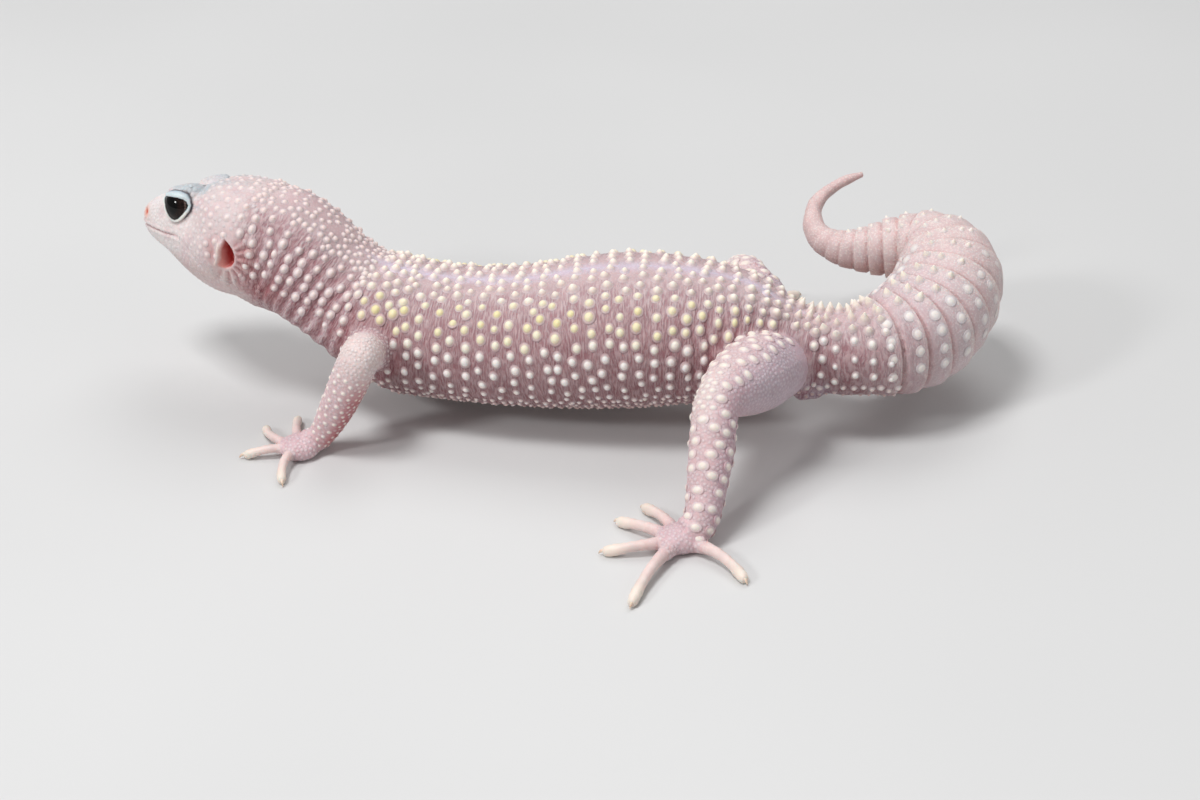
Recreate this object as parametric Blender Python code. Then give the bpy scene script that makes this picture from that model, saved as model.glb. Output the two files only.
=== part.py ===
"""A life-size leopard gecko (Eublepharis macularius), standing with its head raised and its tail curled.

The animal is modelled whole, as one closed skin, and parted into named solids by thin cuts:
head, jaw, neck, trunk, four lengths of tail, three lengths of each leg, eyes, eardrums and claws.
Sizes are in millimetres and are turned into metres as the meshes are made. The head points to -X,
the left side faces -Y, and the soles lie at z = 0. Last, the whole model is moved sideways so that
the middle of its footprint is at the origin.
"""

import math
from dataclasses import dataclass

import bmesh
import bpy
import numpy as np
from mathutils import Matrix, Vector

MM = 0.001
CUT = 0.3                  # width of every parting cut
VOXEL = 0.45               # grain of the skin while its pieces are merged
SKIN_TRIANGLES = 4200      # triangles of the whole skin before it is parted
SMOOTH_PASSES = 4
SLIVER = 2.0               # a loose piece smaller than this is no part of the animal

# Trunk and neck: place of the middle of each section, its half width, and its reach up and down.
# x, y, z, half width, rise, drop
BODY_SECTIONS = (
    (-59.5, 5.8, 28.4, 8.6, 6.8, 9.0),
    (-57.4, 5.0, 28.0, 9.4, 9.0, 11.2),
    (-52.0, 3.8, 26.8, 9.9, 11.0, 12.0),
    (-47.7, 2.8, 24.5, 10.0, 10.9, 10.9),
    (-42.8, 1.8, 20.9, 10.2, 10.2, 9.4),
    (-38.8, 1.2, 18.2, 11.2, 10.3, 9.0),
    (-34.4, 0.6, 16.3, 12.6, 10.8, 10.0),
    (-28.5, 0.2, 14.9, 13.4, 11.0, 11.4),
    (-21.0, -0.2, 14.6, 14.0, 10.6, 11.2),
    (-12.6, -0.5, 14.8, 14.6, 10.8, 11.5),
    (-3.8, -0.5, 15.6, 15.0, 11.2, 12.2),
    (5.0, -0.2, 16.9, 15.2, 12.0, 13.3),
    (13.6, 0.2, 17.6, 15.0, 12.0, 13.2),
    (22.3, 0.7, 17.6, 14.0, 11.4, 12.2),
    (30.0, 1.0, 17.2, 12.0, 9.9, 11.0),
    (37.0, 0.9, 15.8, 9.0, 7.2, 9.0),
    (42.5, 0.8, 15.0, 7.5, 6.9, 7.8),
    (48.2, 0.9, 15.0, 7.5, 7.2, 7.6),
    (53.9, 3.3, 15.3, 8.4, 8.4, 8.4),
    (59.1, 7.9, 15.8, 9.2, 9.2, 9.2),
    (62.6, 13.8, 17.1, 9.4, 9.4, 9.4),
    (64.4, 21.0, 18.9, 9.3, 9.3, 9.3),
    (62.9, 27.0, 20.2, 8.3, 8.3, 8.3),
    (59.9, 30.4, 20.6, 7.0, 7.0, 7.0),
    (56.2, 31.5, 20.4, 5.9, 5.9, 5.9),
    (52.2, 31.4, 20.0, 4.95, 4.95, 4.95),
    (48.8, 31.4, 19.6, 4.1, 4.1, 4.1),
    (45.3, 31.8, 19.5, 3.3, 3.3, 3.3),
    (42.0, 33.0, 20.1, 2.6, 2.6, 2.6),
    (40.0, 34.7, 21.3, 2.1, 2.1, 2.1),
    (39.3, 36.5, 22.8, 1.75, 1.75, 1.75),
    (39.4, 38.3, 24.3, 1.45, 1.45, 1.45),
    (40.5, 40.1, 25.5, 1.25, 1.25, 1.25),
    (42.4, 42.0, 26.6, 1.05, 1.05, 1.05),
    (44.9, 43.6, 27.7, 0.9, 0.9, 0.9),
    (48.0, 44.9, 28.5, 0.55, 0.55, 0.55),
)
VENT_BULGE_CENTRE, VENT_BULGE_RADII = (41.2, 0.4, 10.2), (5.0, 5.6, 4.6)
SECTION_SIDES = 28
SQUARENESS = 2.25          # exponent of the trunk's sections, where 2 is an ellipse

# The head, in its own frame: forward from the nape, left, up.
HEAD_NAPE = (-53.6, 4.0, 30.5)
HEAD_YAW, HEAD_PITCH, HEAD_ROLL = 20.0, -4.5, 11.5
# forward, height of the middle, half width, rise, drop
HEAD_SECTIONS = (
    (-4.0, -0.8, 8.6, 7.0, 10.5),
    (0.0, -0.6, 10.0, 8.2, 12.6),
    (4.5, -0.4, 10.5, 8.2, 12.8),
    (9.0, -0.3, 9.9, 7.8, 12.7),
    (13.0, -0.2, 8.6, 6.2, 11.7),
    (16.5, -0.2, 7.4, 5.3, 9.9),
    (20.0, -0.4, 6.2, 4.6, 7.3),
    (23.2, -0.6, 5.0, 3.7, 5.6),
    (25.3, -0.9, 3.7, 2.8, 4.3),
    (26.7, -1.2, 2.0, 1.6, 2.5),
)
EYE_CENTRE, EYE_RADIUS = (15.0, 4.4, 2.7), 3.1
ORBIT_CENTRE, ORBIT_RADII = (14.9, 4.6, 2.5), (4.8, 3.1, 3.5)
BROW_CENTRE, BROW_RADII = (13.6, 4.9, 4.5), (5.2, 2.3, 2.1)
CHEEK_CENTRE, CHEEK_RADII = (5.0, 6.4, -2.6), (6.6, 4.6, 5.6)
EAR_CENTRE, EAR_RADII = (2.2, 10.9, -3.7), (1.3, 2.6, 2.4)
EARDRUM_CENTRE, EARDRUM_RADII = (2.2, 9.2, -3.7), (0.6, 0.5, 1.4)
EYE_GRAIN, EAR_GRAIN = (9, 14), (6, 9)        # rings and segments
MOUTH_LINE = ((29.0, -3.9), (23.4, -3.4), (18.8, -3.1), (16.0, -3.2), (13.5, -3.9), (11.0, -5.0),
              (9.0, -6.6), (7.6, -17.0))


@dataclass(frozen=True)
class Limb:
    """The line of one leg, from the body out, with the leg's radius at each point."""

    side: int              # -1 on the animal's left, 1 on its right
    names: tuple           # of the upper length, the lower length and the foot
    line: tuple            # root, upper length, elbow or knee, lower length, wrist or ankle
    sole: tuple            # the middle of the palm or sole
    radii: tuple           # one for each point of the line, and the sole's thickness
    root_cut: tuple        # where the leg is parted from the trunk, and the cut's direction outwards
    sole_reach: tuple      # half the sole's length and breadth
    digit_girth: float     # share of the digits' full thickness
    turn: float            # degrees by which the foot's fan is turned backwards
    fan: tuple             # of each digit: its direction halfway along and at its tip, and its length


# Directions are in degrees on the floor, from straight ahead outwards. Digits are I to V.
HAND_FAN = ((-107, -110, 10.2), (-70, -75, 12.4), (-24, -46, 11.6), (18, 15, 10.8), (76, 90, 11.4))
FOOT_FAN = ((-59, -53, 13.4), (-23, -26, 13.2), (26, 17, 13.8), (69, 73, 19.8), (150, 140, 15.6))
HAND_RADII, FOOT_RADII = (4.6, 3.9, 3.6, 3.45, 2.5, 2.0), (6.2, 6.6, 4.2, 3.9, 3.0, 2.1)
HAND_REACH, FOOT_REACH = (3.5, 3.2), (4.1, 3.3)
HAND_GIRTH, FOOT_GIRTH = 0.86, 1.0
FORELEG_NAMES, HIND_LEG_NAMES = ("upper_arm", "forearm", "hand"), ("thigh", "shank", "foot")
LIMBS = (
    Limb(-1, FORELEG_NAMES,
         ((-33.5, -7.5, 14.5), (-33.4, -14.5, 16.8), (-32.8, -20.4, 19.2), (-36.1, -20.4, 11.6),
          (-40.3, -19.8, 3.5)),
         (-43.9, -21.9, 1.7), HAND_RADII, ((-33.4, -13.4, 16.4), (-0.22, -0.97, 0.0)),
         HAND_REACH, HAND_GIRTH, 0.0, HAND_FAN),
    Limb(1, FORELEG_NAMES,
         ((-33.0, 8.0, 14.0), (-29.6, 13.4, 13.2), (-26.6, 17.8, 12.6), (-31.2, 23.6, 8.2),
          (-35.4, 28.4, 3.5)),
         (-38.0, 30.6, 1.7), HAND_RADII, ((-28.8, 14.8, 13.0), (0.0, 1.0, 0.0)),
         HAND_REACH, HAND_GIRTH, 28.0, HAND_FAN),
    Limb(-1, HIND_LEG_NAMES,
         ((36.2, -6.5, 15.5), (32.4, -15.0, 17.6), (28.0, -25.0, 18.0), (27.5, -31.6, 11.9),
          (26.8, -39.0, 4.1)),
         (23.7, -41.2, 1.8), FOOT_RADII, ((33.4, -12.2, 17.0), (0.26, -0.96, 0.0)),
         FOOT_REACH, FOOT_GIRTH, 0.0, FOOT_FAN),
    Limb(1, HIND_LEG_NAMES,
         ((33.4, 7.0, 13.4), (30.2, 15.4, 15.2), (27.8, 23.0, 16.6), (27.4, 30.6, 11.0),
          (27.4, 39.0, 4.1)),
         (24.4, 41.4, 1.8), FOOT_RADII, ((31.0, 13.8, 14.4), (0.22, 0.975, 0.0)),
         FOOT_REACH, FOOT_GIRTH, 9.0, FOOT_FAN),
)
DIGIT_HEIGHT = 0.85        # of a digit's middle over the floor
DIGIT_STEPS = ((0.15, 0.7, 1.5), (0.5, 0.7, 1.3), (0.8, 0.35, 1.22), (1.0, 0.0, 1.15))
CLAW_LENGTH, CLAW_RADIUS, CLAW_TIP_RADIUS = 1.5, 0.5, 0.27
CLAW_STEPS = ((0.0, 0.1), (0.35, 0.15), (0.7, 0.0), (1.0, -0.25))
CLAW_SIDES, CLAW_ROWS = 5, 2
DIGIT_NUMERALS = ("1", "2", "3", "4", "5")

SKIN_COLOUR = (0.60, 0.39, 0.41, 1.0)
CLAW_COLOUR = (0.78, 0.66, 0.56, 1.0)
EYE_COLOUR = (0.01, 0.008, 0.008, 1.0)
EARDRUM_COLOUR = (0.30, 0.05, 0.05, 1.0)


def material(name, colour, roughness):
    """A plain Principled material."""
    made = bpy.data.materials.new(name)
    made.use_nodes = True
    shader = made.node_tree.nodes["Principled BSDF"]
    shader.inputs["Base Color"].default_value = colour
    shader.inputs["Roughness"].default_value = roughness
    shader.inputs["Metallic"].default_value = 0.0
    return made


def catmull_rom(rows, steps):
    """The rows, with others between them on a smooth curve through all of them."""
    rows = np.array(rows, float)
    padded = np.vstack((2 * rows[0] - rows[1], rows, 2 * rows[-1] - rows[-2]))
    found = []
    for i in range(1, len(padded) - 2):
        before, start, end, after = padded[i - 1:i + 3]
        for t in np.arange(steps) / steps:
            found.append(0.5 * (2 * start + (end - before) * t
                                + (2 * before - 5 * start + 4 * end - after) * t * t
                                + (3 * start - before - 3 * end + after) * t ** 3))
    return np.array(found + [rows[-1]])


def superellipse(angle, exponent):
    """A point on the unit superellipse."""
    c, s = math.cos(angle), math.sin(angle)
    power = 2 / exponent
    return math.copysign(abs(c) ** power, c), math.copysign(abs(s) ** power, s)


def loft(name, centres, sides, ups, widths, rises, drops, exponent=2.0, around=SECTION_SIDES):
    """A closed tube through sections that are given by their middles, axes and reach."""
    form = bmesh.new()
    rings = []
    for centre, side, up, width, rise, drop in zip(centres, sides, ups, widths, rises, drops):
        ring = []
        for k in range(around):
            c, s = superellipse(math.tau * k / around, exponent)
            place = Vector(centre) + side * float(c * width) + up * float(s * (rise if s > 0 else drop))
            ring.append(form.verts.new(place * MM))
        rings.append(ring)
    for first, second in zip(rings, rings[1:]):
        for k in range(around):
            following = (k + 1) % around
            form.faces.new((first[k], first[following], second[following], second[k]))
    form.faces.new(rings[0])
    form.faces.new(rings[-1])
    bmesh.ops.recalc_face_normals(form, faces=form.faces)
    return object_from(name, form)


def object_from(name, form):
    """An object that holds the finished bmesh."""
    mesh = bpy.data.meshes.new(name)
    form.to_mesh(mesh)
    form.free()
    made = bpy.data.objects.new(name, mesh)
    bpy.context.scene.collection.objects.link(made)
    return made


def round_limb(name, rows, around=16, steps=5):
    """A round tube. Each row is x, y, z and radius."""
    rows = catmull_rom(rows, steps)
    tangents = np.gradient(rows[:, :3], axis=0)
    sides, ups = [], []
    side = Vector((0.0, 1.0, 0.0)).cross(Vector(tangents[0]))
    for tangent in map(Vector, tangents):
        tangent.normalize()
        side = (side - side.dot(tangent) * tangent).normalized()
        sides.append(side)
        ups.append(tangent.cross(side))
    radii = rows[:, 3]
    return loft(name, rows[:, :3], sides, ups, radii, radii, radii, around=around)


def ellipsoid(name, centre, radii, turn=None, rings=14, segments=20):
    """A sphere stretched along its own axes, turned by a matrix, at its place."""
    form = bmesh.new()
    bmesh.ops.create_uvsphere(form, u_segments=segments, v_segments=rings, radius=1.0)
    shape = Matrix.Diagonal((*radii, 1.0))
    place = Matrix.Translation(Vector(centre)) @ (turn or Matrix()) @ shape
    bmesh.ops.transform(form, matrix=Matrix.Scale(MM, 4) @ place, verts=form.verts)
    return object_from(name, form)


def head_axes():
    """Forward, left and up of the head, in the frame of the part."""
    yaw, pitch, roll = (math.radians(angle) for angle in (HEAD_YAW, HEAD_PITCH, HEAD_ROLL))
    forward = Vector((-math.cos(yaw) * math.cos(pitch), math.sin(yaw) * math.cos(pitch), math.sin(pitch)))
    left = Vector((-math.sin(yaw), -math.cos(yaw), 0.0))
    up = forward.cross(left)
    left, up = left * math.cos(roll) + up * math.sin(roll), up * math.cos(roll) - left * math.sin(roll)
    return forward, left, up


def head_matrix():
    """From the head's own frame to the frame of the part, in millimetres."""
    turned = Matrix(head_axes()).transposed().to_4x4()
    return Matrix.Translation(Vector(HEAD_NAPE)) @ turned


def in_head(point):
    return head_matrix() @ Vector(point)


def body_form():
    """Neck, trunk and tail in one tube."""
    rows = catmull_rom(BODY_SECTIONS, 4)
    tangents = np.gradient(rows[:, :3], axis=0)
    sides, ups = [], []
    for tangent in map(Vector, tangents):
        side = tangent.cross(Vector((0.0, 0.0, 1.0))).normalized()
        sides.append(side)
        ups.append(side.cross(tangent).normalized())
    return loft("body", rows[:, :3], sides, ups, rows[:, 3], rows[:, 4], rows[:, 5], SQUARENESS)


def head_forms():
    """The skull's tube, with its brows and cheeks."""
    forward, left, up = head_axes()
    rows = catmull_rom(HEAD_SECTIONS, 4)
    centres = [in_head((row[0], 0.0, row[1])) for row in rows]
    count = len(rows)
    forms = [loft("skull", centres, [left] * count, [up] * count,
                  rows[:, 2], rows[:, 3], rows[:, 4], SQUARENESS)]
    turned = head_matrix().to_3x3().to_4x4()
    for side in (1, -1):
        lumps = (("brow", BROW_CENTRE, BROW_RADII), ("orbit", ORBIT_CENTRE, ORBIT_RADII),
                 ("cheek", CHEEK_CENTRE, CHEEK_RADII))
        for name, (a, b, c), radii in lumps:
            forms.append(ellipsoid(name, in_head((a, side * b, c)), radii, turned))
    return forms


def on_floor(limb, angle, distance, height):
    """A place over the floor: a direction from straight ahead, outwards, and a distance from the sole."""
    turned = math.radians(angle + limb.turn)
    x, y, _ = limb.sole
    return Vector((x - distance * math.cos(turned), y + limb.side * distance * math.sin(turned), height))


def along_digit(limb, digit, share, lift=0.0):
    """A place along a digit's curved middle line, from the sole at 0 to the claw's tip at 1."""
    halfway, tip, length = digit
    return on_floor(limb, halfway + (tip - halfway) * (2 * share - 1), length * share, DIGIT_HEIGHT + lift)


def limb_forms(limb):
    """The tubes of one leg: both lengths, the sole and its digits."""
    ankle, sole = Vector(limb.line[-1]), Vector(limb.sole)
    rows = [(*place, radius) for place, radius in zip(limb.line, limb.radii)]
    rows.append((*ankle.lerp(sole, 0.7), 0.85 * rows[-1][3]))
    heading = on_floor(limb, 20.0, 1.0, sole.z) - sole
    turn = Matrix.Rotation(math.atan2(heading.y, heading.x), 4, "Z")
    forms = [round_limb("leg", rows), ellipsoid("sole", sole, (*limb.sole_reach, limb.radii[-1]), turn)]
    for digit in limb.fan:
        flesh = 1 - CLAW_LENGTH / digit[2]
        rows = [(*along_digit(limb, digit, share * (flesh + 0.08), lift), limb.digit_girth * radius)
                for share, lift, radius in DIGIT_STEPS]
        forms.append(round_limb("digit", rows, 10))
    return forms


def select_only(*objects):
    bpy.ops.object.select_all(action="DESELECT")
    for made in objects:
        made.select_set(True)
    bpy.context.view_layer.objects.active = objects[0]


def apply_modifier(made, kind, **settings):
    """Adds one modifier to an object and applies it."""
    modifier = made.modifiers.new(kind.title(), kind)
    for key, value in settings.items():
        setattr(modifier, key, value)
    select_only(made)
    bpy.ops.object.modifier_apply(modifier=modifier.name)


def merged(name, forms):
    """One closed, smooth and light skin over all the forms."""
    select_only(*forms)
    bpy.ops.object.join()
    skin = bpy.context.view_layer.objects.active
    skin.name = name
    apply_modifier(skin, "REMESH", mode="VOXEL", voxel_size=VOXEL * MM)
    apply_modifier(skin, "SMOOTH", factor=0.5, iterations=SMOOTH_PASSES)
    apply_modifier(skin, "TRIANGULATE")
    apply_modifier(skin, "DECIMATE", ratio=SKIN_TRIANGLES / len(skin.data.polygons))
    return skin


def cut_away(skin, cutter):
    """Takes the cutter's shape out of the skin, and removes the cutter."""
    apply_modifier(skin, "BOOLEAN", operation="DIFFERENCE", solver="EXACT", object=cutter)
    bpy.data.objects.remove(cutter)


def disc(centre, normal, radius):
    """A thin disc that parts a tube across its middle line."""
    form = bmesh.new()
    bmesh.ops.create_cone(form, cap_ends=True, segments=16, radius1=radius, radius2=radius, depth=CUT)
    turn = Vector((0.0, 0.0, 1.0)).rotation_difference(Vector(normal)).to_matrix().to_4x4()
    place = Matrix.Translation(Vector(centre)) @ turn
    bmesh.ops.transform(form, matrix=Matrix.Scale(MM, 4) @ place, verts=form.verts)
    return object_from("parting", form)


def floor_block():
    """All the room below the soles."""
    form = bmesh.new()
    bmesh.ops.create_cube(form, size=1.0)
    place = Matrix.Translation((0.0, 0.0, -10.0)) @ Matrix.Diagonal((300.0, 300.0, 20.0, 1.0))
    bmesh.ops.transform(form, matrix=Matrix.Scale(MM, 4) @ place, verts=form.verts)
    return object_from("floor", form)


def mouth_slit():
    """A thin wall through the head that follows the lips and ends through the throat."""
    form = bmesh.new()
    half, reach = CUT / 2, 14.0
    path = [Vector(point) for point in MOUTH_LINE]
    edges = {}
    for side in (-1, 1):
        for way in (-1, 1):
            row = []
            for i, point in enumerate(path):
                along = (path[min(i + 1, len(path) - 1)] - path[max(i - 1, 0)]).normalized()
                offset = point + way * half * Vector((-along.y, along.x))
                row.append(form.verts.new(in_head((offset.x, side * reach, offset.y)) * MM))
            edges[side, way] = row
    for i in range(len(path) - 1):
        corners = [edges[key] for key in ((-1, -1), (-1, 1), (1, 1), (1, -1))]
        for first, second in zip(corners, corners[1:] + corners[:1]):
            form.faces.new((first[i], first[i + 1], second[i + 1], second[i]))
    for end in (0, len(path) - 1):
        form.faces.new([edges[key][end] for key in ((-1, -1), (-1, 1), (1, 1), (1, -1))])
    bmesh.ops.recalc_face_normals(form, faces=form.faces)
    return object_from("mouth_slit", form)


def body_place(section):
    """The middle and direction of the body's line at one of its sections, or between two."""
    rows = catmull_rom(BODY_SECTIONS, 10)
    at = int(round(10 * section))
    middle = Vector(rows[at][:3])
    along = Vector(rows[min(at + 1, len(rows) - 1)][:3] - rows[at - 1][:3]).normalized()
    return middle, along


# Reach of each cut across a leg, as a share of the leg's radius there.
ROOT_CUT_REACH, BEND_CUT_REACH, END_CUT_REACH = 1.75, 2.1, 1.9
# Where the body is parted, by its section, with the reach of each cut.
BODY_CUTS = ((2.2, 16.0), (4.2, 15.0), (16.3, 11.0), (19.4, 12.0), (22.4, 11.5), (25.8, 7.5))


def limb_cuts(limb):
    """Discs across the shoulder or hip, the elbow or knee, and the wrist or ankle."""
    _, upper, middle, lower, ankle = (Vector(place) for place in limb.line)
    bend = (lower - middle).normalized() - (upper - middle).normalized()
    return [
        disc(*limb.root_cut, ROOT_CUT_REACH * limb.radii[1]),
        disc(middle, bend.normalized(), BEND_CUT_REACH * limb.radii[2]),
        disc(lower.lerp(ankle, 0.85), (ankle - lower).normalized(), END_CUT_REACH * limb.radii[4]),
    ]


def loose_pieces(skin):
    """Splits the parted skin into its separate bodies, without the slivers that the cuts leave."""
    select_only(skin)
    bpy.ops.mesh.separate(type="LOOSE")
    pieces = list(bpy.context.selected_objects)
    slivers = [piece for piece in pieces if max(piece.dimensions) < SLIVER * MM]
    for sliver in slivers:
        bpy.data.objects.remove(sliver)
    return [piece for piece in pieces if piece not in slivers]


def middle_of(made):
    corners = [Vector(corner) for corner in made.bound_box]
    return (corners[0] + corners[6]) / 2 / MM


def landmarks():
    """A place inside each piece of the parted skin, by the piece's name."""
    found = {"head": in_head((8.0, 0.0, 1.0)), "jaw": in_head((14.0, 0.0, -5.4)),
             "neck": body_place(3.2)[0], "trunk": body_place(10.5)[0],
             "tail_base": body_place(18.0)[0], "tail_bend": body_place(20.9)[0],
             "tail_return": body_place(24.0)[0], "tail_tip": body_place(28.5)[0]}
    for limb in LIMBS:
        _, upper, middle, lower, _ = (Vector(place) for place in limb.line)
        side = "left" if limb.side < 0 else "right"
        for name, place in zip(limb.names, (upper.lerp(middle, 0.6), lower, Vector(limb.sole))):
            found[f"{name}_{side}"] = place
    return found


def claw(limb, digit, number, finish):
    """A small hooked cone at the end of a digit, its root a narrow gap ahead of the digit's flat end."""
    start = 1 - (CLAW_LENGTH - CUT) / digit[2]
    rows = []
    for t, lift in CLAW_STEPS:
        radius = CLAW_RADIUS + (CLAW_TIP_RADIUS - CLAW_RADIUS) * t
        rows.append((*along_digit(limb, digit, start + (1 - start) * t, lift), radius))
    side = "left" if limb.side < 0 else "right"
    made = round_limb(f"claw_{limb.names[2]}_{side}_{number}", rows, CLAW_SIDES, CLAW_ROWS)
    made.data.materials.append(finish)


def settle():
    """Moves all solids sideways, and down if needed, so that the box round them stands on the origin."""
    solids = list(bpy.context.scene.collection.objects)
    corners = np.array([corner for made in solids for corner in made.bound_box])
    low, high = corners.min(axis=0), corners.max(axis=0)
    place = Vector(((low[0] + high[0]) / 2, (low[1] + high[1]) / 2, low[2]))
    for made in solids:
        made.data.transform(Matrix.Translation(-place))


def claw_room(limb, digit):
    """A short round block that squares off the end of a digit where its claw begins."""
    start = along_digit(limb, digit, 1 - CLAW_LENGTH / digit[2])
    far = along_digit(limb, digit, 1 + 1.5 / digit[2])
    form = bmesh.new()
    reach = (far - start).length
    bmesh.ops.create_cone(form, cap_ends=True, segments=12, radius1=1.9, radius2=1.9, depth=reach)
    turn = Vector((0.0, 0.0, 1.0)).rotation_difference(far - start).to_matrix().to_4x4()
    place = Matrix.Translation((start + far) / 2) @ turn
    bmesh.ops.transform(form, matrix=Matrix.Scale(MM, 4) @ place, verts=form.verts)
    return object_from("claw_room", form)


def main():
    for made in list(bpy.data.objects):
        bpy.data.objects.remove(made)

    skin_finish = material("skin", SKIN_COLOUR, 0.6)
    claw_finish = material("claw", CLAW_COLOUR, 0.45)
    eye_finish = material("eye", EYE_COLOUR, 0.05)
    eardrum_finish = material("eardrum", EARDRUM_COLOUR, 0.5)

    forms = [body_form(), *head_forms(), ellipsoid("vent", VENT_BULGE_CENTRE, VENT_BULGE_RADII)]
    for limb in LIMBS:
        forms += limb_forms(limb)
    skin = merged("skin", forms)
    skin.data.materials.clear()
    skin.data.materials.append(skin_finish)

    cut_away(skin, floor_block())
    cut_away(skin, mouth_slit())
    turned = head_matrix().to_3x3().to_4x4()
    for side, side_name in ((1, "left"), (-1, "right")):
        a, b, c = EYE_CENTRE
        centre = in_head((a, side * b, c))
        socket = EYE_RADIUS + CUT
        cut_away(skin, ellipsoid("socket", centre, (socket,) * 3, turned, *EYE_GRAIN))
        eye = ellipsoid(f"eye_{side_name}", centre, (EYE_RADIUS,) * 3, turned, *EYE_GRAIN)
        eye.data.materials.append(eye_finish)
        a, b, c = EAR_CENTRE
        cut_away(skin, ellipsoid("ear_pit", in_head((a, side * b, c)), EAR_RADII, turned, *EAR_GRAIN))
        a, b, c = EARDRUM_CENTRE
        eardrum = ellipsoid(f"eardrum_{side_name}", in_head((a, side * b, c)), EARDRUM_RADII, turned, *EAR_GRAIN)
        eardrum.data.materials.append(eardrum_finish)
    for index, reach in BODY_CUTS:
        middle, along = body_place(index)
        cut_away(skin, disc(middle, along, reach))
    for limb in LIMBS:
        for cutter in limb_cuts(limb):
            cut_away(skin, cutter)
        for digit, number in zip(limb.fan, DIGIT_NUMERALS):
            cut_away(skin, claw_room(limb, digit))
            claw(limb, digit, number, claw_finish)

    places = landmarks()
    for piece in loose_pieces(skin):
        name = min(places, key=lambda key: (places[key] - middle_of(piece)).length)
        piece.name = name
    settle()


main()
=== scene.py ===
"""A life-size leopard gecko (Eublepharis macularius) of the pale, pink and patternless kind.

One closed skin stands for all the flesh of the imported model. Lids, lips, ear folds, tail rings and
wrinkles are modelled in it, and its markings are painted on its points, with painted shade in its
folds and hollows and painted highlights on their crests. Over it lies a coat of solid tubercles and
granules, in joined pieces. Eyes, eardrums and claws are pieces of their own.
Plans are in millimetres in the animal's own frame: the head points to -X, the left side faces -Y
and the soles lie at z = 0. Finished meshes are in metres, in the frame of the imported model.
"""

import logging
import math
from dataclasses import dataclass, field
from enum import Enum
from functools import cached_property
from itertools import product

import bpy
import numpy as np
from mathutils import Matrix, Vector
from mathutils.bvhtree import BVHTree


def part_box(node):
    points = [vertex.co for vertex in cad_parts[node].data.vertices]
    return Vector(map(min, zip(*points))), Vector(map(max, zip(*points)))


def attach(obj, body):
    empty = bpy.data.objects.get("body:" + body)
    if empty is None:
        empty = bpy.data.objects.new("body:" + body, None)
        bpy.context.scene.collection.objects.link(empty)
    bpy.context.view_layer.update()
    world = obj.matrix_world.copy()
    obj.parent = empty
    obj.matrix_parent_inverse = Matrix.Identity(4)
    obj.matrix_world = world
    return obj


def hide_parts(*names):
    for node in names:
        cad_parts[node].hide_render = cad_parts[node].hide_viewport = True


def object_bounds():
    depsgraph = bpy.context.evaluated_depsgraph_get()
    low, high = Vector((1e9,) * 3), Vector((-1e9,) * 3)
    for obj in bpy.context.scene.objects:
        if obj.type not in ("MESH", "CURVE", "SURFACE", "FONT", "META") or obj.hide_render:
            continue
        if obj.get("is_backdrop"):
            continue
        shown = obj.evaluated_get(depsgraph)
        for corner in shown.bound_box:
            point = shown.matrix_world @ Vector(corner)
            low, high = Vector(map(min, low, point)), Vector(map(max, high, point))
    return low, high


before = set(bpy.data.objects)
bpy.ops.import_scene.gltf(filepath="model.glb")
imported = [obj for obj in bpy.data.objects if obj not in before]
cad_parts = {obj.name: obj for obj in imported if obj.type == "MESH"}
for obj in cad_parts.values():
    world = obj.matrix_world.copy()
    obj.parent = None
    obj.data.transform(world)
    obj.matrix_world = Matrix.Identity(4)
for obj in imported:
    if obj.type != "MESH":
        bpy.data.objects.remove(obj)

Array = np.ndarray
LOG = logging.getLogger("gecko")
MM = 0.001
SEED = 38


# ---------------------------------------------------------------- small arithmetic

def smoothstep(value: Array, low: float, high: float) -> Array:
    """A soft step from 0 at low to 1 at high; low may be the greater."""
    share = np.clip((value - low) / (high - low), 0.0, 1.0)
    return share * share * (3 - 2 * share)


def mound(value: Array, centre: float, width: float) -> Array:
    """A bell of height 1 round a centre."""
    return np.exp(-((value - centre) / width) ** 2)


def blend(first: Array, second: Array, share: Array) -> Array:
    """Colours between two, by a share for each point."""
    return first + (np.asarray(second) - first) * np.asarray(share)[..., None]


def tone(red: float, green: float, blue: float) -> Array:
    """A colour in linear light from the usual 0 to 255 numbers."""
    value = np.array((red, green, blue)) / 255
    return np.where(value <= 0.04045, value / 12.92, ((value + 0.055) / 1.055) ** 2.4)


def unit(vectors: Array) -> Array:
    """Vectors of length 1."""
    return vectors / np.maximum(np.linalg.norm(vectors, axis=-1, keepdims=True), 1e-9)


def spoke(side: Array, up: Array, degrees: float) -> Array:
    """The direction at an angle from one direction towards another."""
    return math.cos(math.radians(degrees)) * side + math.sin(math.radians(degrees)) * up


def ripple(points: Array, length: float, seed: int) -> Array:
    """Smooth seeded unevenness of about -1 to 1, with hills about one length apart.

    Args:
        points: places in millimetres.
        length: distance between hills.
        seed: a different number gives different hills.

    Returns:
        One value for each point.
    """
    draw = np.random.default_rng(seed)
    ways = unit(draw.normal(size=(14, 3))) * math.tau / length * draw.uniform(0.7, 1.3, (14, 1))
    return np.sin(points @ ways.T + draw.uniform(0, math.tau, 14)).sum(axis=1) / 4.2


def catmull_rom(rows: tuple, steps: int) -> Array:
    """The rows, with others between them on a smooth curve through all of them.

    Args:
        rows: numbers given at each knot.
        steps: rows made for each stretch between two knots.

    Returns:
        The finer rows.
    """
    rows = np.array(rows, float)
    padded = np.vstack((2 * rows[0] - rows[1], rows, 2 * rows[-1] - rows[-2]))
    found = []
    for i in range(1, len(padded) - 2):
        before, start, end, after = padded[i - 1:i + 3]
        for t in np.arange(steps) / steps:
            found.append(0.5 * (2 * start + (end - before) * t
                                + (2 * before - 5 * start + 4 * end - after) * t * t
                                + (3 * start - before - 3 * end + after) * t ** 3))
    return np.array(found + [rows[-1]])


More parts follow.
